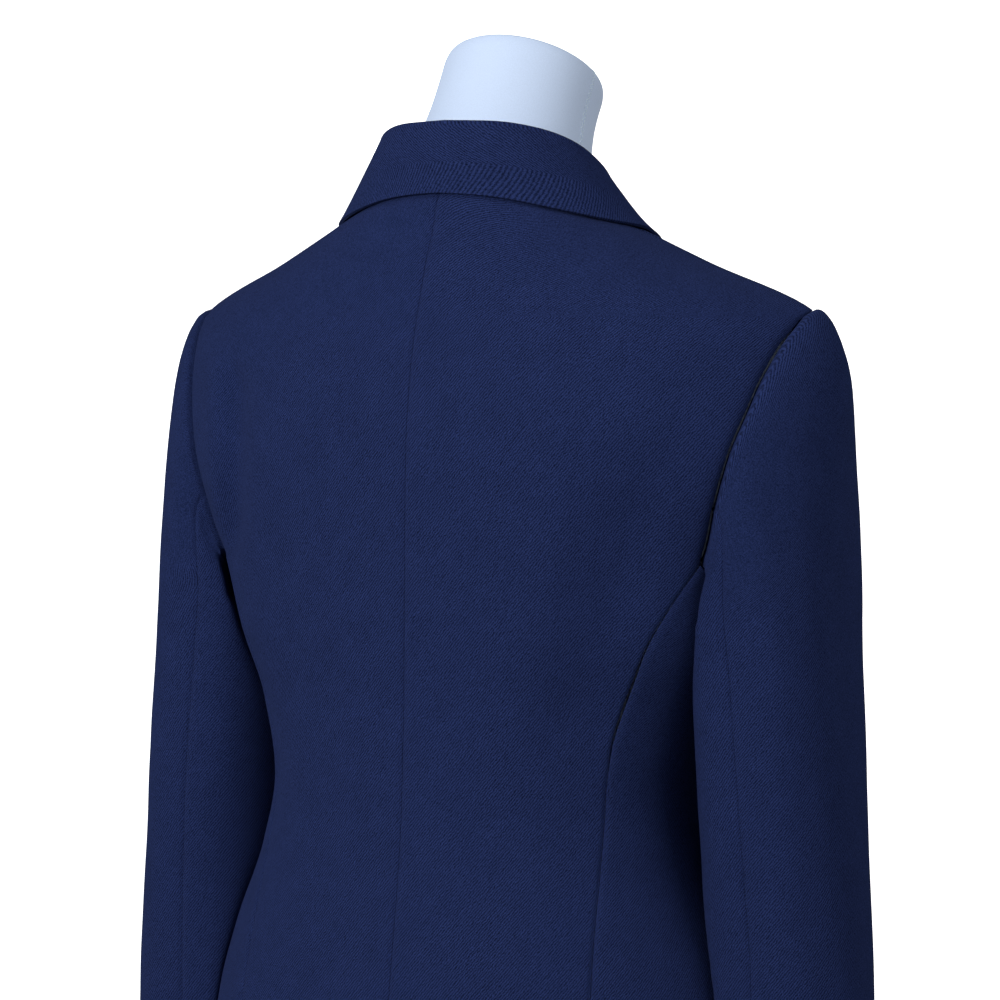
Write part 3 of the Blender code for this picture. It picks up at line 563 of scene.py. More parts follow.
SIDES = {"left": 1.0, "right": -1.0}

# Columns of each piece, and the width in millimetres that they divide
BACK_COLUMNS = (34, 150.0)
SIDE_COLUMNS = (18, 70.0)
FRONT_COLUMNS = (42, 190.0)
LAPEL_COLUMNS = (30, 80.0)
LAPEL_ROWS = (60, 180.0)
SIDE_ROWS = 84
BODY_ROWS = (70, 36, 26)    # up to the armhole, to the shoulder and to the neck


def spread(count, length, near_start=True, near_end=True):
    """Shares from 0 to 1, closer together beside the edges that have a seam."""
    start = [d / length for d in EDGE_STEPS] if near_start else [0.0]
    end = [1.0 - d / length for d in reversed(EDGE_STEPS)] if near_end else [1.0]
    return start + between(start[-1], end[0], count)[1:-1] + end


def ripple(point, seed):
    """Slight unevenness of the cloth at a point."""
    return sum(height * noise.noise(Vector((point.x / size + seed, point.y / size, point.z / size)))
               for size, height in RIPPLE)


def bell(value):
    """Soft bump that is 1 at 0 and fades out past 1."""
    return math.exp(-value * value)


def crease_lift(name, point, level):
    """How far the creases of a body panel move a point out."""
    lift = 0.0
    for place, inner, outer, depth, low, high, fade in CREASES.get(name, ()):
        off = abs(point.x) - curve(place)(level)
        window = smooth_step(low - fade / 2, low + fade / 2, level)
        window *= 1.0 - smooth_step(high - fade / 2, high + fade / 2, level)
        lift -= depth * bell(off / (outer if off > 0 else inner)) * window
    return lift


def turn_between(angle, middle):
    """Signed angle from one place round a sleeve to another."""
    return (angle - middle + 180.0) % 360.0 - 180.0


def sleeve_crease_lift(side, angle, point):
    """How far the creases of a sleeve move a point out."""
    lift = 0.0
    for middle, height, width, tall, slope, depth in SLEEVE_CREASES[side]:
        off = turn_between(angle, middle)
        lift -= depth * bell(off / width) * bell((point.z - height - slope * off) / tall)
    return lift


def underarm_fullness(angle, point):
    """Fullness of the sleeve beside the underarm, where it lies against the back."""
    middle, height, width, tall, rise = UNDERARM_SWELL
    return rise * bell(turn_between(angle, middle) / width) * bell((point.z - height) / tall)


def edge_distances(grid):
    """Distances of each point of a grid from the first and last column and the first and last row."""
    rows, columns = len(grid), len(grid[0])
    across = [[0.0] * columns for _ in range(rows)]
    along = [[0.0] * columns for _ in range(rows)]
    for r in range(rows):
        for c in range(columns):
            if c:
                across[r][c] = across[r][c - 1] + (grid[r][c] - grid[r][c - 1]).length
            if r:
                along[r][c] = along[r - 1][c] + (grid[r][c] - grid[r - 1][c]).length
    return [[(across[r][c], across[r][-1] - across[r][c], along[r][c], along[-1][c] - along[r][c])
             for c in range(columns)] for r in range(rows)]


def fine(grid, normals, lift):
    """Move each point of a grid along its normal. lift gets the point's row, column and edge distances."""
    far = edge_distances(grid)
    return [[grid[r][c] + normals[r][c] * lift(r, c, far[r][c]) for c in range(len(grid[0]))]
            for r in range(len(grid))]


def seam_dip(distances, seams):
    """Dip beside the edges that are seams: first and last column, first and last row."""
    return -SEAM_DIP * max([bell(d / SEAM_REACH) for d, seam in zip(distances, seams) if seam] or [0.0])


def mesh_piece(name, mesh):
    """Object from a built mesh."""
    data = bpy.data.meshes.new(name)
    mesh.to_mesh(data)
    mesh.free()
    piece = bpy.data.objects.new(name, data)
    bpy.context.scene.collection.objects.link(piece)
    return piece


def mapped_grid(name, grid, side, over=False, closed=False, from_end=False):
    """Make a piece from a grid of points, with a UV map in metres along its first or its last row.

    over turns its faces over, and closed joins the first and the last column or row that meet.
    """
    rows, columns = len(grid), len(grid[0])
    mesh = bmesh.new()
    made = bmesh.ops.create_grid(mesh, x_segments=columns - 1, y_segments=rows - 1, size=1.0)["verts"]
    far = edge_distances(grid)
    places = {}
    for vert in made:
        c = round((vert.co.x + 1.0) / 2.0 * (columns - 1))
        r = round((vert.co.y + 1.0) / 2.0 * (rows - 1))
        point = grid[r][c]
        places[vert] = (-side * far[r][c][0] * MM, (-far[r][c][3] if from_end else far[r][c][2]) * MM)
        vert.co = Vector((point.x * side, point.y + DEPTH_SHIFT, point.z)) * MM
    uv = mesh.loops.layers.uv.new("UVMap")
    for face in mesh.faces:
        for loop in face.loops:
            loop[uv].uv = places[loop.vert]
    if over:
        bmesh.ops.reverse_faces(mesh, faces=mesh.faces)
    if closed:
        bmesh.ops.remove_doubles(mesh, verts=mesh.verts, dist=WELD)
        bmesh.ops.recalc_face_normals(mesh, faces=mesh.faces)
    piece = mesh_piece(name, mesh)
    piece.data.shade_smooth()
    return piece


def add_wall(piece, thickness, edge):
    """Give a cloth face its thickness, inwards, and soft edges."""
    solid = piece.modifiers.new("Cloth", "SOLIDIFY")
    solid.thickness = thickness
    solid.offset = -1.0
    solid.use_even_offset = False
    bevel = piece.modifiers.new("Soft edge", "BEVEL")
    bevel.width = edge
    bevel.segments = 2
    bevel.limit_method = "ANGLE"
    bevel.angle_limit = math.radians(50.0)
    bevel.harden_normals = True


def finish(piece, material, node=None):
    """Give a piece its material, slot and body, and hide the node that it stands for."""
    piece.data.materials.clear()
    piece.data.materials.append(material)
    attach(piece, "root")
    if node:
        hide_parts(node)


def make_cloth(name, grid, side, over, from_end=False):
    """Piece of cloth from a grid, with its thickness, material and a UV map in metres."""
    piece = mapped_grid(name + "_cloth", grid, side, over, from_end=from_end)
    sizes = bpy.context.scene.blazer_cloth
    add_wall(piece, sizes.thickness, sizes.edge)
    finish(piece, wool(), name)
    far = edge_distances(grid)


# Body panels


def body_levels():
    """Fine levels of a whole panel, with the corners of its outline kept."""
    stops = (HEM, ARMHOLE_CORNER, SHOULDER, NAPE)
    levels = [HEM]
    for low, high, count in zip(stops, stops[1:], BODY_ROWS):
        levels += between(low, high, count)[1:]
    return levels


def panel_row(level, start, end, columns):
    """Places across a panel between two seams."""
    first, last = away(start, level, SEAM_GAP / 2), away(end, level, -SEAM_GAP / 2)
    return [(mix(first, last, share), level) for share in spread(*columns)]


def build_back(name, side):
    """Half of the back."""
    spots = [panel_row(level, 0.0, back_boundary(level), BACK_COLUMNS) for level in body_levels()]
    body_piece(name, side, spots, (True, True, False, False))


def build_side(name, side):
    """Side body."""
    spots = []
    for up in shares(SIDE_ROWS):
        row = []
        for share in spread(*SIDE_COLUMNS):
            level = mix(HEM, underarm(share), up)
            first = away(back_boundary(level), level, SEAM_GAP / 2)
            last = away(front_boundary(level), level, -SEAM_GAP / 2)
            row.append((mix(first, last, share), level))
        spots.append(row)
    body_piece(name, side, spots, (True, True, False, True))


def build_front(name, side):
    """Front."""
    spots = []
    corner = [HEM + FRONT_CORNER * (1.0 - math.cos(math.radians(turn))) for turn in range(0, 85, 6)]
    for level in corner + [v for v in body_levels() if v > corner[-1] + 3.0]:
        first, last = away(front_boundary(level), level, SEAM_GAP / 2), front_edge(level)
        spots.append([(mix(first, last, share), level) for share in spread(*FRONT_COLUMNS, True, False)])
    body_piece(name, side, spots, (True, False, False, False))


def body_piece(name, side, spots, seams):
    """Turn a grid of places on the body into a piece of cloth with its creases and pressed seams."""
    points = [[body_point(a, v) for a, v in row] for row in spots]
    normals = [[body_normal(a, v) for a, v in row] for row in spots]
    kind = name.split("_")[0]

    def lift(r, c, distances):
        angle, level = spots[r][c]
        value = seam_dip(distances, seams) + crease_lift(name, points[r][c], level)
        value += ripple(points[r][c], RIPPLE_SEED[kind] + side) * smooth_step(0.0, CALM, min(distances))
        if kind != "side":
            beside = smooth_step(ARMHOLE_CORNER - 12.0, ARMHOLE_CORNER + 8.0, level)
            beside *= 1.0 - smooth_step(SHOULDER - 16.0, SHOULDER, level)
            value -= ARMHOLE_DIP * bell(distances[kind == "back"] / ARMHOLE_REACH) * beside
        return value + (lapped(angle, level) + WALL if name == "front_right" else 0.0)

    make_cloth(name, fine(points, normals, lift), side, side > 0)


# Lapels and collar

WRAP_STEPS = 6              # of the lapel's folded edge along the roll line
LAPEL_EASE = 0.35           # the lapel's edge lies this much lower than its middle
PRESSED = 0.5               # share of the unevenness that pressed cloth keeps
COLLAR_STEPS = 46           # on each side of the centre back
ROLL_TURNS = 12
STAND_STEPS = 7
FALL_STEPS = 20
FALL_BELLY = 0.8            # the fall bows out by this much between the roll and its edge


def build_lapel(name, side):
    """Turned-back lapel, with the fold that joins it to the front along the roll line."""
    under = (lambda angle, level: -WALL) if side > 0 else lapped
    radius = (2 * WALL + LAYER_GAP) / 2
    grid = []
    for along in spread(*LAPEL_ROWS):
        row = []
        angle, level = lapel_spot(along, 0.0)
        point, normal = body_point(angle, level), body_normal(angle, level)
        inward = (body_point(*lapel_spot(along, 0.02)) - point).normalized()
        for step in range(WRAP_STEPS):
            turn = math.pi * step / WRAP_STEPS
            rise = under(angle, level) + radius - radius * math.cos(turn)
            row.append(point + normal * rise - inward * radius * math.sin(turn))
        for across in spread(*LAPEL_COLUMNS, False, False):
            angle, level = lapel_spot(along, across)
            edge = smooth_step(0.0, 0.08, 1.0 - across)
            skin = body_point(angle, level)
            lift = under(angle, level) + 2 * WALL + LAYER_GAP + LAPEL_EASE * (edge - 1.0)
            lift += PRESSED * ripple(skin, RIPPLE_SEED["lapel"] + side) * edge
            row.append(skin + body_normal(angle, level) * lift)
        grid.append(row)
    make_cloth(name, grid, side, side > 0)


def collar_section(station):
    """Points across the middle of the collar's cloth: up the stand, over the roll, down the fall."""
    side = -1.0 if station < 0 else 1.0
    at = abs(station)
    place = {name: line(at) for name, line in collar_line.items()}
    end = {name: line(LAST_STATION) for name, line in collar_line.items()}

    def roll_at(where):
        x, y, z = (collar_line[name](abs(where)) for name in ("roll_x", "roll_y", "roll_z"))
        return Vector((x * (-1.0 if where < 0 else 1.0), y, z))

    def skin(angle, level, lift):
        point = body_skin(angle, level, lift)
        return Vector((point.x * side, point.y, point.z))

    seam_angle = min(place["seam_angle"], roll_angle(place["seam_level"]))
    seam = skin(seam_angle, place["seam_level"], -WALL / 2)
    roll = roll_at(station)
    step = 0.05
    along = roll_at(min(station + step, LAST_STATION)) - roll_at(max(station - step, -LAST_STATION))
    along.normalize()
    up = roll - seam
    foot = seam + up * (STAND_FOOT / up.length)
    up = (up - along * up.dot(along)).normalized()
    out = up.cross(along).normalized()
    top = roll - up * ROLL_ROUND
    points = [mix(foot, top - out * ROLL_ROUND, share) for share in shares(STAND_STEPS)[:-1]]
    for swing in between(0.0, math.pi, ROLL_TURNS):
        points.append(top - out * ROLL_ROUND * math.cos(swing) + up * ROLL_ROUND * math.sin(swing))
    fall_top = points[-1]
    lift = LAYER_GAP + WALL / 2
    edge = skin(place["edge_angle"], place["edge_level"], lift)
    lie = smooth_step(*ON_BODY, at)
    end_bend = smooth_step(LAST_STATION - 2.0, LAST_STATION, at) * lie
    notch_angle, notch_level = front_spot(*NOTCH)
    last_angle = mix(roll_angle(end["seam_level"]), end["edge_angle"], NOTCH_SHARE)
    last_level = mix(end["seam_level"], end["edge_level"], NOTCH_SHARE)
    for share in shares(FALL_STEPS)[1:]:
        tent = share / NOTCH_SHARE if share <= NOTCH_SHARE else (1.0 - share) / (1.0 - NOTCH_SHARE)
        angle = mix(seam_angle, place["edge_angle"], share) + tent * end_bend * (notch_angle - last_angle)
        level = mix(place["seam_level"], place["edge_level"], share)
        level += tent * end_bend * (notch_level - last_level)
        belly = out * (FALL_BELLY * math.sin(math.pi * share) * (1.0 - lie))
        lying = skin(angle, level, lift + (1.0 - share) * ROLL_ROUND)
        points.append(mix(mix(fall_top, edge, share) + belly, lying, lie))
    return points


def grid_normals(grid):
    """Normals of a grid of points, from each point's neighbours."""
    normals = []
    for r, row in enumerate(grid):
        line = []
        for c in range(len(row)):
            across = row[min(c + 1, len(row) - 1)] - row[max(c - 1, 0)]
            along = grid[min(r + 1, len(grid) - 1)][c] - grid[max(r - 1, 0)][c]
            line.append(across.cross(along).normalized())
        normals.append(line)
    return normals


def build_collar(name):
    """Collar, folded at the roll line."""
    middle = [collar_section(at) for at in between(-LAST_STATION, LAST_STATION, 2 * COLLAR_STEPS)]

    def lift(r, c, distances):
        calm = smooth_step(0.0, COLLAR_CALM, min(distances))
        return WALL / 2 + PRESSED * ripple(middle[r][c], RIPPLE_SEED["collar"]) * calm

    grid = fine(middle, grid_normals(middle), lift)
    make_cloth(name, grid, 1.0, False)


# Sleeves

TUCK_DEPTH = 5.0            # the sleeve head's seam allowance turns in under the body's edge
TUCK_REACH = 9.5            # and along the cloth
SLEEVE_ROWS = (34, 62)      # of the head, and from the upper arm to the cuff
HEAD_CROWD = 1.25           # how much closer the head's rows lie at the armhole
CROWN = (100.0, 40.0)       # angles from the top between which the rope fades in

# First and last angle of each piece, its columns and the width that they divide
SLEEVE_PIECES = {
    "top": (FRONT_SEAM_ANGLE - 360.0, BACK_SEAM_ANGLE, 46, 200.0),
    "under": (BACK_SEAM_ANGLE, FRONT_SEAM_ANGLE, 28, 110.0),
}


def build_sleeve(kind, label, side):
    """One piece of a sleeve, between two of its seams."""
    first, last, columns, width = SLEEVE_PIECES[kind]
    head = [share ** HEAD_CROWD for share in shares(SLEEVE_ROWS[0])]
    points, places = [], []
    for run in head + between(1.0, 2.0, SLEEVE_ROWS[1])[1:]:
        start, end = sleeve_away(first, run, SEAM_GAP / 2), sleeve_away(last, run, -SEAM_GAP / 2)
        places.append([mix(start, end, share) for share in spread(columns, width)])
        points.append([sleeve_point(angle, run) for angle in places[-1]])
    normals = [[-normal for normal in row] for row in grid_normals(points)]

    def lift(r, c, distances):
        angle, point = places[r][c], points[r][c]
        uneven = ripple(point, RIPPLE_SEED["sleeve"] + side) + sleeve_crease_lift(label, angle, point)
        value = seam_dip(distances, (True, True, True, False))
        value += uneven * smooth_step(0.0, CALM, min(distances[:3]))
        value += underarm_fullness(angle, point) * smooth_step(0.0, 5.0, distances[2])
        if kind == "top":
            crown = smooth_step(*CROWN, abs(turn_between(angle, 0.0)))
            value += ROPE * crown * bell((distances[2] - ROPE_AT) / ROPE_WIDTH)
        return value

    grid = fine(points, normals, lift)
    grid.insert(0, [at - normal * TUCK_DEPTH - (after - at).normalized() * TUCK_REACH
                    for at, after, normal in zip(grid[0], grid[1], normals[0])])
    make_cloth(f"{kind}_sleeve_{label}", grid, side, side > 0,
               True)


# Buttons, threads and buttonholes

RIM_INNER = (1.8, 4.0)      # where the face sinks inside the rim, in roundings of the rim
HOLE_RADIUS = 0.95
HOLE_SPREAD = 2.1
HOLE_CUT = 8.0              # length of the cut, past both faces
HOLE_CORNERS = ((1, 1), (1, -1), (-1, 1), (-1, -1))
THREAD_RADIUS = 0.38
THREAD_APART = 0.42         # between the three strands of a stitch
THREAD_RISE = 0.5           # of the strand's arch over the face
THREAD_SUNK = 1.4           # how far a strand's ends go down in the holes
BUTTONHOLE_END = 13.0       # its end on the wearer's right, from the centre front
BUTTONHOLE_LENGTH = 17.0
BUTTONHOLE_HALF = 1.5       # half its width
BUTTONHOLE_LIFT = 0.25      # middle of its thread above the cloth
BUTTONHOLE_POINTS = 40
BUTTONHOLE_THREAD = 0.55


def tube(name, path, radius, closed, segments=8):
    """Round thread along a path of points."""
    count = len(path)
    grid = []
    for turn in between(0.0, math.tau, segments):
        row = []
        for i in range(count + (1 if closed else 0)):
            here = path[i % count]
            after = path[(i + 1) % count] if closed else path[min(i + 1, count - 1)]
            before = path[(i - 1) % count] if closed else path[max(i - 1, 0)]
            along = (after - before).normalized()
            aside = along.cross(Vector((0.0, 0.3, 1.0))).normalized()
            up = aside.cross(along).normalized()
            taper = 1.0 if closed or 0 < i < count - 1 else 0.35
            row.append(here + (aside * math.cos(turn) + up * math.sin(turn)) * radius * taper)
        grid.append(row)
    return mapped_grid(name, grid, 1.0, closed=True)


def join(name, pieces):
    """Merge several pieces into the first one."""
    mesh = bmesh.new()
    for piece in pieces:
        mesh.from_mesh(piece.data)
    mesh.to_mesh(pieces[0].data)
    mesh.free()
    for piece in pieces[1:]:
        bpy.data.objects.remove(piece, do_unlink=True)
    pieces[0].name = name
    pieces[0].data.shade_smooth()
    return pieces[0]


def seated(mesh, seat, turn):
    """Turn a mesh that stands on +Z to a seat's normal, and move it there."""
    bmesh.ops.rotate(mesh, verts=mesh.verts, matrix=turn, cent=(0.0, 0.0, 0.0))
    bmesh.ops.translate(mesh, verts=mesh.verts, vec=seat * MM)
    return mesh


def cone(mesh, low, high, depth, segments, at):
    """Add an upright capped cone with its middle at a place, all in millimetres."""
    made = bmesh.ops.create_cone(mesh, cap_ends=True, segments=segments, radius1=low * MM,
                                 radius2=high * MM, depth=depth * MM)["verts"]
    bmesh.ops.translate(mesh, verts=made, vec=Vector(at) * MM)


def button_profile():
    """Half outline of a button: distance from its axis, and height."""
    rim, top, edge = BUTTON_RADIUS, SHANK_HEIGHT + BUTTON_THICKNESS, BUTTON_EDGE
    profile = [(0.0, SHANK_HEIGHT), (rim - edge, SHANK_HEIGHT)]
    for start, height in ((-90.0, SHANK_HEIGHT + edge), (0.0, top - edge)):
        for step in range(7):
            swing = math.radians(start + 15.0 * step)
            profile.append((rim - edge + edge * math.cos(swing), height + edge * math.sin(swing)))
    for share in shares(6):
        sunk = BUTTON_DISH * smooth_step(0.0, 1.0, share)
        profile.append((rim - edge * mix(*RIM_INNER, share), top - sunk))
    return profile + [(0.0, top - BUTTON_DISH)]


def build_button(name, height):
    """Turned button with a raised rim and four thread holes, sewn on with crossed threads."""
    angle, level = front_spot(0.0, height)
    seat = body_skin(angle, level, lapped(angle, level) + WALL + LAYER_GAP)
    seat.y += DEPTH_SHIFT
    turn = Vector((0.0, 0.0, 1.0)).rotation_difference(body_normal(angle, level)).to_matrix()
    mesh = bmesh.new()
    verts = [mesh.verts.new((r * MM, 0.0, z * MM)) for r, z in button_profile()]
    edges = [mesh.edges.new(pair) for pair in zip(verts, verts[1:])]
    bmesh.ops.spin(mesh, geom=verts + edges, axis=(0, 0, 1), cent=(0, 0, 0), angle=math.tau,
                   steps=72, use_merge=True)
    bmesh.ops.remove_doubles(mesh, verts=mesh.verts, dist=WELD)
    bmesh.ops.recalc_face_normals(mesh, faces=mesh.faces)
    piece = mesh_piece(name + "_turned", seated(mesh, seat, turn))
    drills = bmesh.new()
    for x, y in HOLE_CORNERS:
        cone(drills, HOLE_RADIUS, HOLE_RADIUS, HOLE_CUT, 24,
             (x * HOLE_SPREAD, y * HOLE_SPREAD, SHANK_HEIGHT + 2.0))
    cutter = mesh_piece(name + "_holes", seated(drills, seat, turn))
    holes = piece.modifiers.new("Thread holes", "BOOLEAN")
    holes.object = cutter
    holes.solver = "EXACT"
    apply_modifiers(piece)
    bpy.data.objects.remove(cutter, do_unlink=True)
    piece.data.shade_smooth()
    piece.data.set_sharp_from_angle(angle=math.radians(40.0))
    finish(piece, horn(), name)
    build_threads(name + "_thread", seat, turn)


def build_threads(name, seat, turn):
    """Thread shank under a button and the two crossed threads on its face."""
    strands = []
    face = SHANK_HEIGHT + BUTTON_THICKNESS - BUTTON_DISH
    for x in (1, -1):
        for off in (-THREAD_APART, 0.0, THREAD_APART):
            path = []
            for along in between(-1.0, 1.0, 10):
                lift = face - THREAD_SUNK
                if abs(along) < 1:
                    lift = face + THREAD_RISE * math.cos(along * math.pi / 2) ** 0.5 - 0.3
                point = Vector((x * HOLE_SPREAD * along - off * 0.7, HOLE_SPREAD * along + x * off * 0.7,
                                lift + (0.3 if x > 0 else 0.0)))
                path.append(turn @ point + seat - Vector((0.0, DEPTH_SHIFT, 0.0)))
            strands.append(tube("strand", path, THREAD_RADIUS, False, 6))
    mesh = bmesh.new()
    cone(mesh, SHANK_RADIUS * 1.15, SHANK_RADIUS, SHANK_HEIGHT, 20, (0.0, 0.0, SHANK_HEIGHT / 2))
    strands.append(mesh_piece("shank", seated(mesh, seat, turn)))
    finish(join(name, strands), thread_silk())


def apply_modifiers(piece):
    """Fix a piece's modifiers into its mesh."""
    bpy.context.view_layer.update()
    graph = bpy.context.evaluated_depsgraph_get()
    data = bpy.data.meshes.new_from_object(piece.evaluated_get(graph))
    piece.modifiers.clear()
    piece.data = data


def build_buttonhole(name, height):
    """Thread worked round the buttonhole under a button, as one stitched ring that lies on the front."""
    path = []
    for i in range(BUTTONHOLE_POINTS):
        turn = math.tau * i / BUTTONHOLE_POINTS
        x = BUTTONHOLE_END + BUTTONHOLE_LENGTH / 2 * (math.cos(turn) - 1.0)
        rise = BUTTONHOLE_HALF * math.copysign(abs(math.sin(turn)) ** 0.6, math.sin(turn))
        angle, level = front_spot(x, height + rise)
        point = body_skin(angle, level, lapped(angle, level) + WALL + BUTTONHOLE_LIFT)
        path.append(Vector((-point.x, point.y, point.z)))
    finish(tube(name, path, BUTTONHOLE_THREAD, True), thread_silk())


# Dress form

FORM_STEPS = 112
FORM_ROWS = 84
FORM_EASE = 0.6             # keeps the fine surface inside the cloth
FORM_CREASE_EASE = 5.0      # and inside its creases, where it is covered
NECK_STEPS = 5              # rows from one ring of the neck to the next
NECK_DOME = 0.8             # the cover's top swells by this much
DOME_STEPS = 8
SEAM_TURN = 272.5           # where the neck's seam runs, round from the back by the wearer's left
STITCHES = 38
STITCH_SHARE = 0.72         # of the way from one stitch to the next
STITCH_RADIUS = 0.32
ZIGZAG_RADIUS = 0.30
ZIGZAG = (0.9, 3.4)         # degrees from the seam to the zigzag's two sides
STITCH_LIFT = 0.12


def form_row(level):
    """Ring of the form inside the jacket."""
    points = []
    covered = smooth_step(HEM + 20.0, HEM + 60.0, level) * (1.0 - smooth_step(660.0, 700.0, level))
    for i in range(FORM_STEPS + 1):
        angle = 360.0 * (i % FORM_STEPS) / FORM_STEPS
        ease = FORM_EASE + FORM_CREASE_EASE * covered * smooth_step(30.0, 60.0, abs(angle - 180.0))
        point = body_skin(angle, level, -WALL - form_clearance(level) - ease)
        over = abs(point.x) - FORM_SHOULDER
        if over > 0:
            reach = FORM_SHOULDER + FORM_SHOULDER_ROUND * math.tanh(over / FORM_SHOULDER_ROUND)
            point.x = math.copysign(reach, point.x)
        if level == FORM_BASE:
            point.z = FORM_BASE
        points.append(point)
    return points


def neck_sizes(at):
    """Sizes of the neck at a place in its table of rings."""
    table = [(float(i), *row) for i, row in enumerate(NECK_RINGS)]
    return {name: curve(table, i + 1)(at) for i, name in enumerate(NECK_RING_COLUMNS)}


def neck_point(size, radius, turn):
    """Point of a tilted ring of the neck. turn is in radians from the back."""
    lean = math.radians(size["tilt"])
    depth = radius * math.cos(turn)
    return Vector((radius * math.sin(turn), size["centre"] + depth * math.cos(lean),
                   size["height"] + depth * math.sin(lean)))


def neck_row(size, scale=1.0):
    """Tilted ring of the neck."""
    return [neck_point(size, size["radius"] * scale, math.tau * (i % FORM_STEPS) / FORM_STEPS)
            for i in range(FORM_STEPS + 1)]


def build_form(name):
    """Whole limbless dress form under its fitted cover."""
    last = len(NECK_RINGS) - 1
    grid = [form_row(level) for level in [FORM_BASE, 2.0, 20.0] + between(40.0, NAPE, FORM_ROWS)]
    grid += [neck_row(neck_sizes(at)) for at in between(0.0, last, last * NECK_STEPS)]
    crown = neck_sizes(last)
    for share in shares(DOME_STEPS)[1:]:
        swing = math.pi / 2 * share
        size = {**crown, "height": crown["height"] + NECK_DOME * math.sin(swing)}
        grid.append(neck_row(size, max(math.cos(swing), 0.001)))
    piece = mapped_grid(name + "_cover", grid, 1.0, closed=True)
    mesh = bmesh.new()
    mesh.from_mesh(piece.data)
    bmesh.ops.holes_fill(mesh, edges=[e for e in mesh.edges if e.is_boundary], sides=0)
    bmesh.ops.recalc_face_normals(mesh, faces=mesh.faces)
    mesh.to_mesh(piece.data)
    mesh.free()
    piece.data.shade_smooth()
    piece.data.set_sharp_from_angle(angle=math.radians(60.0))
    finish(piece, cover(), name)


def stitch(radius, low, high, start, end):
    """Stitch on the neck from one place and turn, in degrees, to another."""
    ends = []
    for at, turn in ((low, start), (high, end)):
        size = neck_sizes(at)
        ends.append(neck_point(size, size["radius"] + STITCH_LIFT, math.radians(turn)))
    return tube("stitch", [ends[0], mix(*ends, 0.5), ends[1]], radius, False, 6)


def build_neck_seam(name):
    """Stitches of the cover's seam up the side of the neck: a straight row and a zigzag beside it."""
    stitches = []
    rows = between(1.0, len(NECK_RINGS) - 2.4, STITCHES)
    for i, (low, high) in enumerate(zip(rows, rows[1:])):
        start, end = reversed(ZIGZAG) if i % 2 == 0 else ZIGZAG
        stitches.append(stitch(STITCH_RADIUS, low, mix(low, high, STITCH_SHARE), SEAM_TURN, SEAM_TURN))
        stitches.append(stitch(ZIGZAG_RADIUS, low, high, SEAM_TURN + start, SEAM_TURN + end))
    finish(join(name, stitches), cover_thread())


# Materials


def node(tree, kind, settings=None, **inputs):
    """Shader node. Each input takes a value, or is linked when it is given another node's output."""
    made = tree.nodes.new("ShaderNode" + kind)
    for name, value in (settings or {}).items():
        setattr(made, name, value)
    feed(tree, made, **inputs)
    return made


def feed(tree, target, **inputs):
    """Set or link a node's inputs. Underscores in their names stand for spaces."""
    for name, value in inputs.items():
        entry = target.inputs[name.replace("_", " ")]
        if isinstance(value, bpy.types.NodeSocket):
            tree.links.new(value, entry)
        else:
            entry.default_value = value


def ramp(tree, factor, stops):
    """Colour ramp over a node's output. Each stop is a place and a colour."""
    made = node(tree, "ValToRGB", Fac=factor)
    for stop, (at, colour) in zip(made.color_ramp.elements, stops):
        stop.position = at
        stop.color = (*colour, 1.0)
    return made.outputs["Color"]


def tinted(colour, factor):
    """Colour made lighter or darker."""
    return tuple(min(channel * factor, 1.0) for channel in colour)


def new_material(name):
    """Empty material and its shader node."""
    found = bpy.data.materials.new(name)
    found.use_nodes = True
    return found, found.node_tree, found.node_tree.nodes["Principled BSDF"]


def wool():
    """Navy wool: a fine twill of slightly different navy yarns, matt with a soft bloom."""
    if "Navy wool" in bpy.data.materials:
        return bpy.data.materials["Navy wool"]
    found, tree, shader = new_material("Navy wool")
    looks = bpy.context.scene.blazer_cloth
    colour = tuple(looks.colour)
    place = node(tree, "TexCoord").outputs
    yarn = node(tree, "TexNoise", Vector=place["Object"], Scale=looks.yarn_scale, Detail=3.0, Roughness=0.75)
    slant = node(tree, "Mapping", Vector=place["UV"], Rotation=(0.0, 0.0, math.radians(38.0)))
    twill = node(tree, "TexWave", Vector=slant.outputs["Vector"], Scale=looks.twill_scale, Distortion=3.5,
                 Detail=2.0, Detail_Scale=2.0)
    weave = node(tree, "Mix", Factor=looks.twill, A=yarn.outputs["Fac"], B=twill.outputs["Fac"])
    blend = ramp(tree, weave.outputs["Result"], ((0.28, tinted(colour, 0.20)), (0.72, tinted(colour, 1.95))))
    cloud = node(tree, "TexNoise", Vector=place["Object"], Scale=55.0, Detail=3.0, Roughness=0.55)
    shade = ramp(tree, cloud.outputs["Fac"], ((0.30, (0.90, 0.90, 0.90)), (0.72, (1.0, 1.0, 1.0))))
    both = node(tree, "Mix", {"data_type": "RGBA", "blend_type": "MULTIPLY"}, Factor=1.0,
                A=blend, B=shade)
    bump = node(tree, "Bump", Strength=0.35, Distance=0.0002, Height=twill.outputs["Fac"])
    fuzz = node(tree, "Bump", Strength=0.30, Distance=0.0003, Height=yarn.outputs["Fac"],
                Normal=bump.outputs["Normal"])
    feed(tree, shader, Base_Color=both.outputs["Result"], Normal=fuzz.outputs["Normal"], Roughness=0.88,
         Specular_IOR_Level=0.0, Sheen_Weight=looks.bloom, Sheen_Roughness=0.55,
         Sheen_Tint=(0.45, 0.55, 0.95, 1.0))
    return found


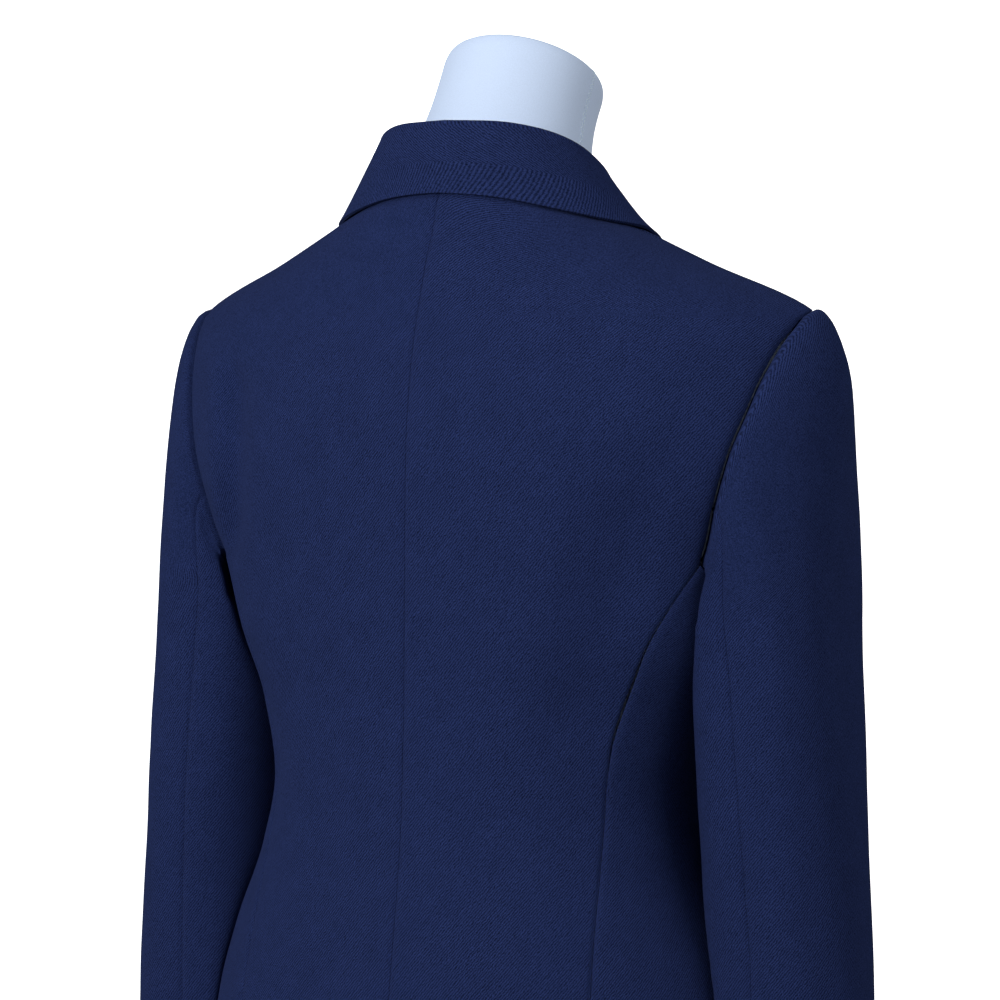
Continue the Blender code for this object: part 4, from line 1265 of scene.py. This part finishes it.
def grained(name, colour, scale, detail, roughness, stops, height=0.0, **looks):
    """Material whose colour runs over a fine grain. Each stop is a place and a factor of the colour."""
    if name in bpy.data.materials:
        return bpy.data.materials[name]
    found, tree, shader = new_material(name)
    grain = node(tree, "TexNoise", Vector=node(tree, "TexCoord").outputs["Object"], Scale=scale,
                 Detail=detail, Roughness=roughness)
    shades = [(at, tinted(colour, factor)) for at, factor in stops]
    feed(tree, shader, Base_Color=ramp(tree, grain.outputs["Fac"], shades), **looks)
    if height:
        bump = node(tree, "Bump", Strength=height, Distance=0.0002, Height=grain.outputs["Fac"])
        feed(tree, shader, Normal=bump.outputs["Normal"])
    return found


def horn():
    """Dark, slightly streaked button."""
    return grained("Button horn", bpy.context.scene.blazer_trim.button_colour, 160.0, 4.0, 0.6,
                   ((0.35, 0.7), (0.75, 2.2)), Roughness=0.36, Specular_IOR_Level=0.25)


def thread_silk():
    """Sewing thread in the cloth's colour."""
    return grained("Navy thread", bpy.context.scene.blazer_cloth.colour, 2600.0, 2.0, 0.5,
                   ((0.3, 0.7), (0.7, 1.5)), Roughness=0.6)


def cover():
    """Pale plain-weave cover of the form."""
    return grained("Form cover", bpy.context.scene.blazer_trim.cover_colour, 1500.0, 2.0, 0.6,
                   ((0.3, 0.95), (0.7, 1.03)), 0.15, Roughness=0.75)


def cover_thread():
    """Pale thread of the cover's seam."""
    return grained("Cover thread", bpy.context.scene.blazer_trim.cover_colour, 2200.0, 2.0, 0.5,
                   ((0.3, 1.05), (0.7, 1.45)), Roughness=0.6)


# Studio, in metres

WALL_RADIUS = 5.2
WALL_RISE = 4.0
FLOOR_GREY = 0.42
WALL_GREY = 0.5
SWEEP_START = 0.85          # behind the object
SWEEP_FLAT = 2.6
SWEEP_ROUND = 1.2
SWEEP_RISE = 2.4
SWEEP_WIDTH = 3.4
LIGHT_DISTANCE = 2.4
LIGHT_AIM = (0.0, 0.0, 0.45)
SKY_COLOUR = (0.72, 0.84, 1.0, 1.0)
CAMERA_AZIMUTH = 208.0
CAMERA_DISTANCE = 2.2
CAMERA_HEIGHT = 0.640
CAMERA_PITCH = math.degrees(math.atan(200.0 / 3476.0))   # down: fall and run of the line of sight
CAMERA_LENS = 125.1
CAMERA_SHIFT = -0.009

# Azimuth, elevation and size of each light, and the setting with its power
LIGHTS = {
    "Key light": (166.0, 17.0, 0.9, "key"),
    "High light": (140.0, 64.0, 1.2, "side"),
    "Fill light": (258.0, 40.0, 1.2, "fill"),
}


def towards(azimuth, elevation):
    """Direction from the object at an azimuth and elevation."""
    turn, lift = math.radians(azimuth), math.radians(elevation)
    return Vector((math.sin(turn) * math.cos(lift), -math.cos(turn) * math.cos(lift), math.sin(lift)))


def studio_piece(name, mesh, grey, glow):
    """Plain surface of the studio."""
    piece = mesh_piece(name, mesh)
    found, tree, shader = new_material(name)
    feed(tree, shader, Base_Color=(grey, grey, grey, 1.0), Roughness=0.9,
         Emission_Color=(1.0, 1.0, 1.0, 1.0), Emission_Strength=glow)
    piece.data.materials.append(found)


def build_floor():
    """Plain pale floor."""
    mesh = bmesh.new()
    bmesh.ops.create_grid(mesh, x_segments=1, y_segments=1, size=WALL_RADIUS)
    bmesh.ops.translate(mesh, verts=mesh.verts, vec=(0.0, 0.0, -0.0005))
    studio_piece("Floor", mesh, FLOOR_GREY, 0.0)


def build_wall(glow):
    """Pale wall all round."""
    mesh = bmesh.new()
    bmesh.ops.create_cone(mesh, cap_ends=False, segments=96, radius1=WALL_RADIUS, radius2=WALL_RADIUS,
                          depth=WALL_RISE)
    bmesh.ops.translate(mesh, verts=mesh.verts, vec=(0.0, 0.0, WALL_RISE / 2))
    studio_piece("Wall", mesh, WALL_GREY, glow)


def build_sweep(glow):
    """White sweep behind the object, as seen by the camera: along the floor and up in a curve."""
    quarter = math.pi / 2 * SWEEP_ROUND
    length = SWEEP_FLAT + quarter + SWEEP_RISE
    mesh = bmesh.new()
    bmesh.ops.create_grid(mesh, x_segments=1, y_segments=60, size=1.0)
    for vert in mesh.verts:
        run = (vert.co.y + 1.0) / 2.0 * length
        turn = min(max(run - SWEEP_FLAT, 0.0) / SWEEP_ROUND, math.pi / 2)
        behind = SWEEP_START + min(run, SWEEP_FLAT) + SWEEP_ROUND * math.sin(turn)
        rise = 0.002 + SWEEP_ROUND * (1.0 - math.cos(turn)) + max(run - SWEEP_FLAT - quarter, 0.0)
        vert.co = Vector((vert.co.x * SWEEP_WIDTH / 2, behind, rise))
    bmesh.ops.rotate(mesh, verts=mesh.verts, cent=(0.0, 0.0, 0.0),
                     matrix=Matrix.Rotation(math.radians(CAMERA_AZIMUTH), 3, "Z"))
    studio_piece("Sweep", mesh, 1.0, glow)


def softbox(name, azimuth, elevation, size, power):
    """Square light at an azimuth and elevation round the object, turned to its middle."""
    data = bpy.data.lights.new(name, "AREA")
    data.shape = "SQUARE"
    data.size = size
    data.energy = power
    lamp = bpy.data.objects.new(name, data)
    way = towards(azimuth, elevation)
    lamp.location = Vector(LIGHT_AIM) + way * LIGHT_DISTANCE
    lamp.rotation_euler = (-way).to_track_quat("-Z", "Y").to_euler()
    bpy.context.scene.collection.objects.link(lamp)


def build_camera():
    """Camera at the back, on the wearer's right."""
    data = bpy.data.cameras.new("Camera")
    data.lens = CAMERA_LENS
    data.sensor_width = 36.0
    data.shift_x = CAMERA_SHIFT
    camera = bpy.data.objects.new("Camera", data)
    way = towards(CAMERA_AZIMUTH, 0.0) * CAMERA_DISTANCE
    camera.location = (way.x, way.y + DEPTH_SHIFT * MM, CAMERA_HEIGHT)
    camera.rotation_euler = (math.radians(90.0 - CAMERA_PITCH), 0.0, math.radians(CAMERA_AZIMUTH))
    bpy.context.scene.collection.objects.link(camera)
    bpy.context.scene.camera = camera


# Settings, operators and panel


class BlazerCloth(bpy.types.PropertyGroup):
    """Cloth of the jacket."""

    thickness: FloatProperty(name="Thickness", description="Thickness of the cloth with its interlining",
                             default=WALL * MM, min=0.001, max=0.003, unit="LENGTH", precision=4)
    edge: FloatProperty(name="Edge", description="Rounding of the cloth's edges",
                        default=0.00035, min=0.0, max=0.0009, unit="LENGTH", precision=4)
    colour: FloatVectorProperty(name="Colour", description="Colour of the wool", subtype="COLOR", size=3,
                                min=0.0, max=1.0, default=(0.0135, 0.0222, 0.0770))
    bloom: FloatProperty(name="Bloom", description="Soft sheen of the wool's nap", default=0.03,
                         min=0.0, max=1.0, subtype="FACTOR")
    yarn_scale: FloatProperty(name="Yarn", description="Density of the mixed yarns, per metre",
                              default=1250.0, min=100.0, max=4000.0)
    twill: FloatProperty(name="Twill strength", description="How clearly the twill's lines show",
                         default=0.24, min=0.0, max=1.0, subtype="FACTOR")
    twill_scale: FloatProperty(name="Twill", description="Density of the twill's lines",
                               default=215.0, min=50.0, max=1000.0)


class BlazerTrim(bpy.types.PropertyGroup):
    """Buttons and form."""

    button_colour: FloatVectorProperty(name="Buttons", description="Colour of the buttons", subtype="COLOR",
                                       size=3, min=0.0, max=1.0, default=(0.008, 0.011, 0.026))
    cover_colour: FloatVectorProperty(name="Cover", description="Colour of the form's cover",
                                      subtype="COLOR", size=3, min=0.0, max=1.0, default=(0.61, 0.73, 0.94))


class BlazerStudio(bpy.types.PropertyGroup):
    """Lights round the object."""

    key: FloatProperty(name="Key light", description="Power of the main light, behind the camera",
                       default=38.0, min=0.0, max=500.0)
    side: FloatProperty(name="High light", description="Power of the light high on the wearer's left",
                        default=12.0, min=0.0, max=500.0)
    fill: FloatProperty(name="Fill light", description="Power of the light on the wearer's right",
                        default=17.0, min=0.0, max=500.0)
    backdrop: FloatProperty(name="Backdrop", description="Brightness of the white sweep behind",
                            default=1.05, min=0.0, max=5.0)
    walls: FloatProperty(name="Walls", description="Brightness of the pale wall all round",
                         default=0.12, min=0.0, max=5.0)
    sky: FloatProperty(name="Sky", description="Strength of the light from above", default=0.04,
                       min=0.0, max=5.0)


class BLAZER_OT_back(bpy.types.Operator):
    """Build both halves of the back"""

    bl_idname = "blazer.back"
    bl_label = "Back"

    def execute(self, context):
        for label, side in SIDES.items():
            build_back(f"back_{label}", side)
        return {"FINISHED"}


class BLAZER_OT_sides(bpy.types.Operator):
    """Build the side bodies"""

    bl_idname = "blazer.sides"
    bl_label = "Side bodies"

    def execute(self, context):
        for label, side in SIDES.items():
            build_side(f"side_{label}", side)
        return {"FINISHED"}


class BLAZER_OT_fronts(bpy.types.Operator):
    """Build the fronts"""

    bl_idname = "blazer.fronts"
    bl_label = "Fronts"

    def execute(self, context):
        for label, side in SIDES.items():
            build_front(f"front_{label}", side)
        return {"FINISHED"}


class BLAZER_OT_collar(bpy.types.Operator):
    """Build the collar and the lapels"""

    bl_idname = "blazer.collar"
    bl_label = "Collar and lapels"

    def execute(self, context):
        build_collar("collar")
        for label, side in SIDES.items():
            build_lapel(f"lapel_{label}", side)
        return {"FINISHED"}


class BLAZER_OT_sleeves(bpy.types.Operator):
    """Build the two pieces of each sleeve"""

    bl_idname = "blazer.sleeves"
    bl_label = "Sleeves"

    def execute(self, context):
        for label, side in SIDES.items():
            for kind in SLEEVE_PIECES:
                build_sleeve(kind, label, side)
        return {"FINISHED"}


class BLAZER_OT_buttons(bpy.types.Operator):
    """Build the buttons, their threads and the buttonholes"""

    bl_idname = "blazer.buttons"
    bl_label = "Buttons and buttonholes"

    def execute(self, context):
        for name, height in BUTTON_HEIGHTS.items():
            build_button(name, height)
            build_buttonhole(name.replace("button", "buttonhole"), height)
        return {"FINISHED"}


class BLAZER_OT_form(bpy.types.Operator):
    """Build the dress form and its cover's seam"""

    bl_idname = "blazer.form"
    bl_label = "Dress form"

    def execute(self, context):
        build_form("dress_form")
        build_neck_seam("neck_seam")
        return {"FINISHED"}


class BLAZER_OT_studio(bpy.types.Operator):
    """Build the floor, the backdrop, the lights and the camera"""

    bl_idname = "blazer.studio"
    bl_label = "Studio"

    def execute(self, context):
        studio = context.scene.blazer_studio
        build_floor()
        build_wall(studio.walls)
        build_sweep(studio.backdrop)
        for name, (azimuth, elevation, size, setting_name) in LIGHTS.items():
            softbox(name, azimuth, elevation, size, getattr(studio, setting_name))
        world = bpy.data.worlds.new("Studio")
        world.use_nodes = True
        feed(world.node_tree, world.node_tree.nodes["Background"], Color=SKY_COLOUR, Strength=studio.sky)
        context.scene.world = world
        context.scene.view_settings.view_transform = "Standard"
        build_camera()
        return {"FINISHED"}


class BLAZER_PT_panel(bpy.types.Panel):
    """Settings and steps of the blazer"""

    bl_label = "Blazer"
    bl_idname = "BLAZER_PT_panel"
    bl_space_type = "VIEW_3D"
    bl_region_type = "UI"
    bl_category = "Blazer"

    def draw(self, context):
        for group in (context.scene.blazer_cloth, context.scene.blazer_trim, context.scene.blazer_studio):
            box = self.layout.box()
            for name in group.bl_rna.properties.keys():
                if name not in ("rna_type", "name"):
                    box.prop(group, name)
        for operator in STEPS:
            self.layout.operator(operator.bl_idname)


STEPS = (BLAZER_OT_back, BLAZER_OT_sides, BLAZER_OT_fronts, BLAZER_OT_collar, BLAZER_OT_sleeves,
         BLAZER_OT_buttons, BLAZER_OT_form, BLAZER_OT_studio)
GROUPS = {"blazer_cloth": BlazerCloth, "blazer_trim": BlazerTrim, "blazer_studio": BlazerStudio}


def register():
    """Add the settings, operators and panel."""
    for name, group in GROUPS.items():
        bpy.utils.register_class(group)
        setattr(bpy.types.Scene, name, PointerProperty(type=group))
    for operator in STEPS:
        bpy.utils.register_class(operator)
    bpy.utils.register_class(BLAZER_PT_panel)


def unregister():
    """Take them away again."""
    bpy.utils.unregister_class(BLAZER_PT_panel)
    for operator in reversed(STEPS):
        bpy.utils.unregister_class(operator)
    for name, group in GROUPS.items():
        delattr(bpy.types.Scene, name)
        bpy.utils.unregister_class(group)


def main():
    """Build everything."""
    register()
    for step in STEPS:
        getattr(bpy.ops.blazer, step.bl_idname.split(".")[1])()


if __name__ == "__main__":
    main()
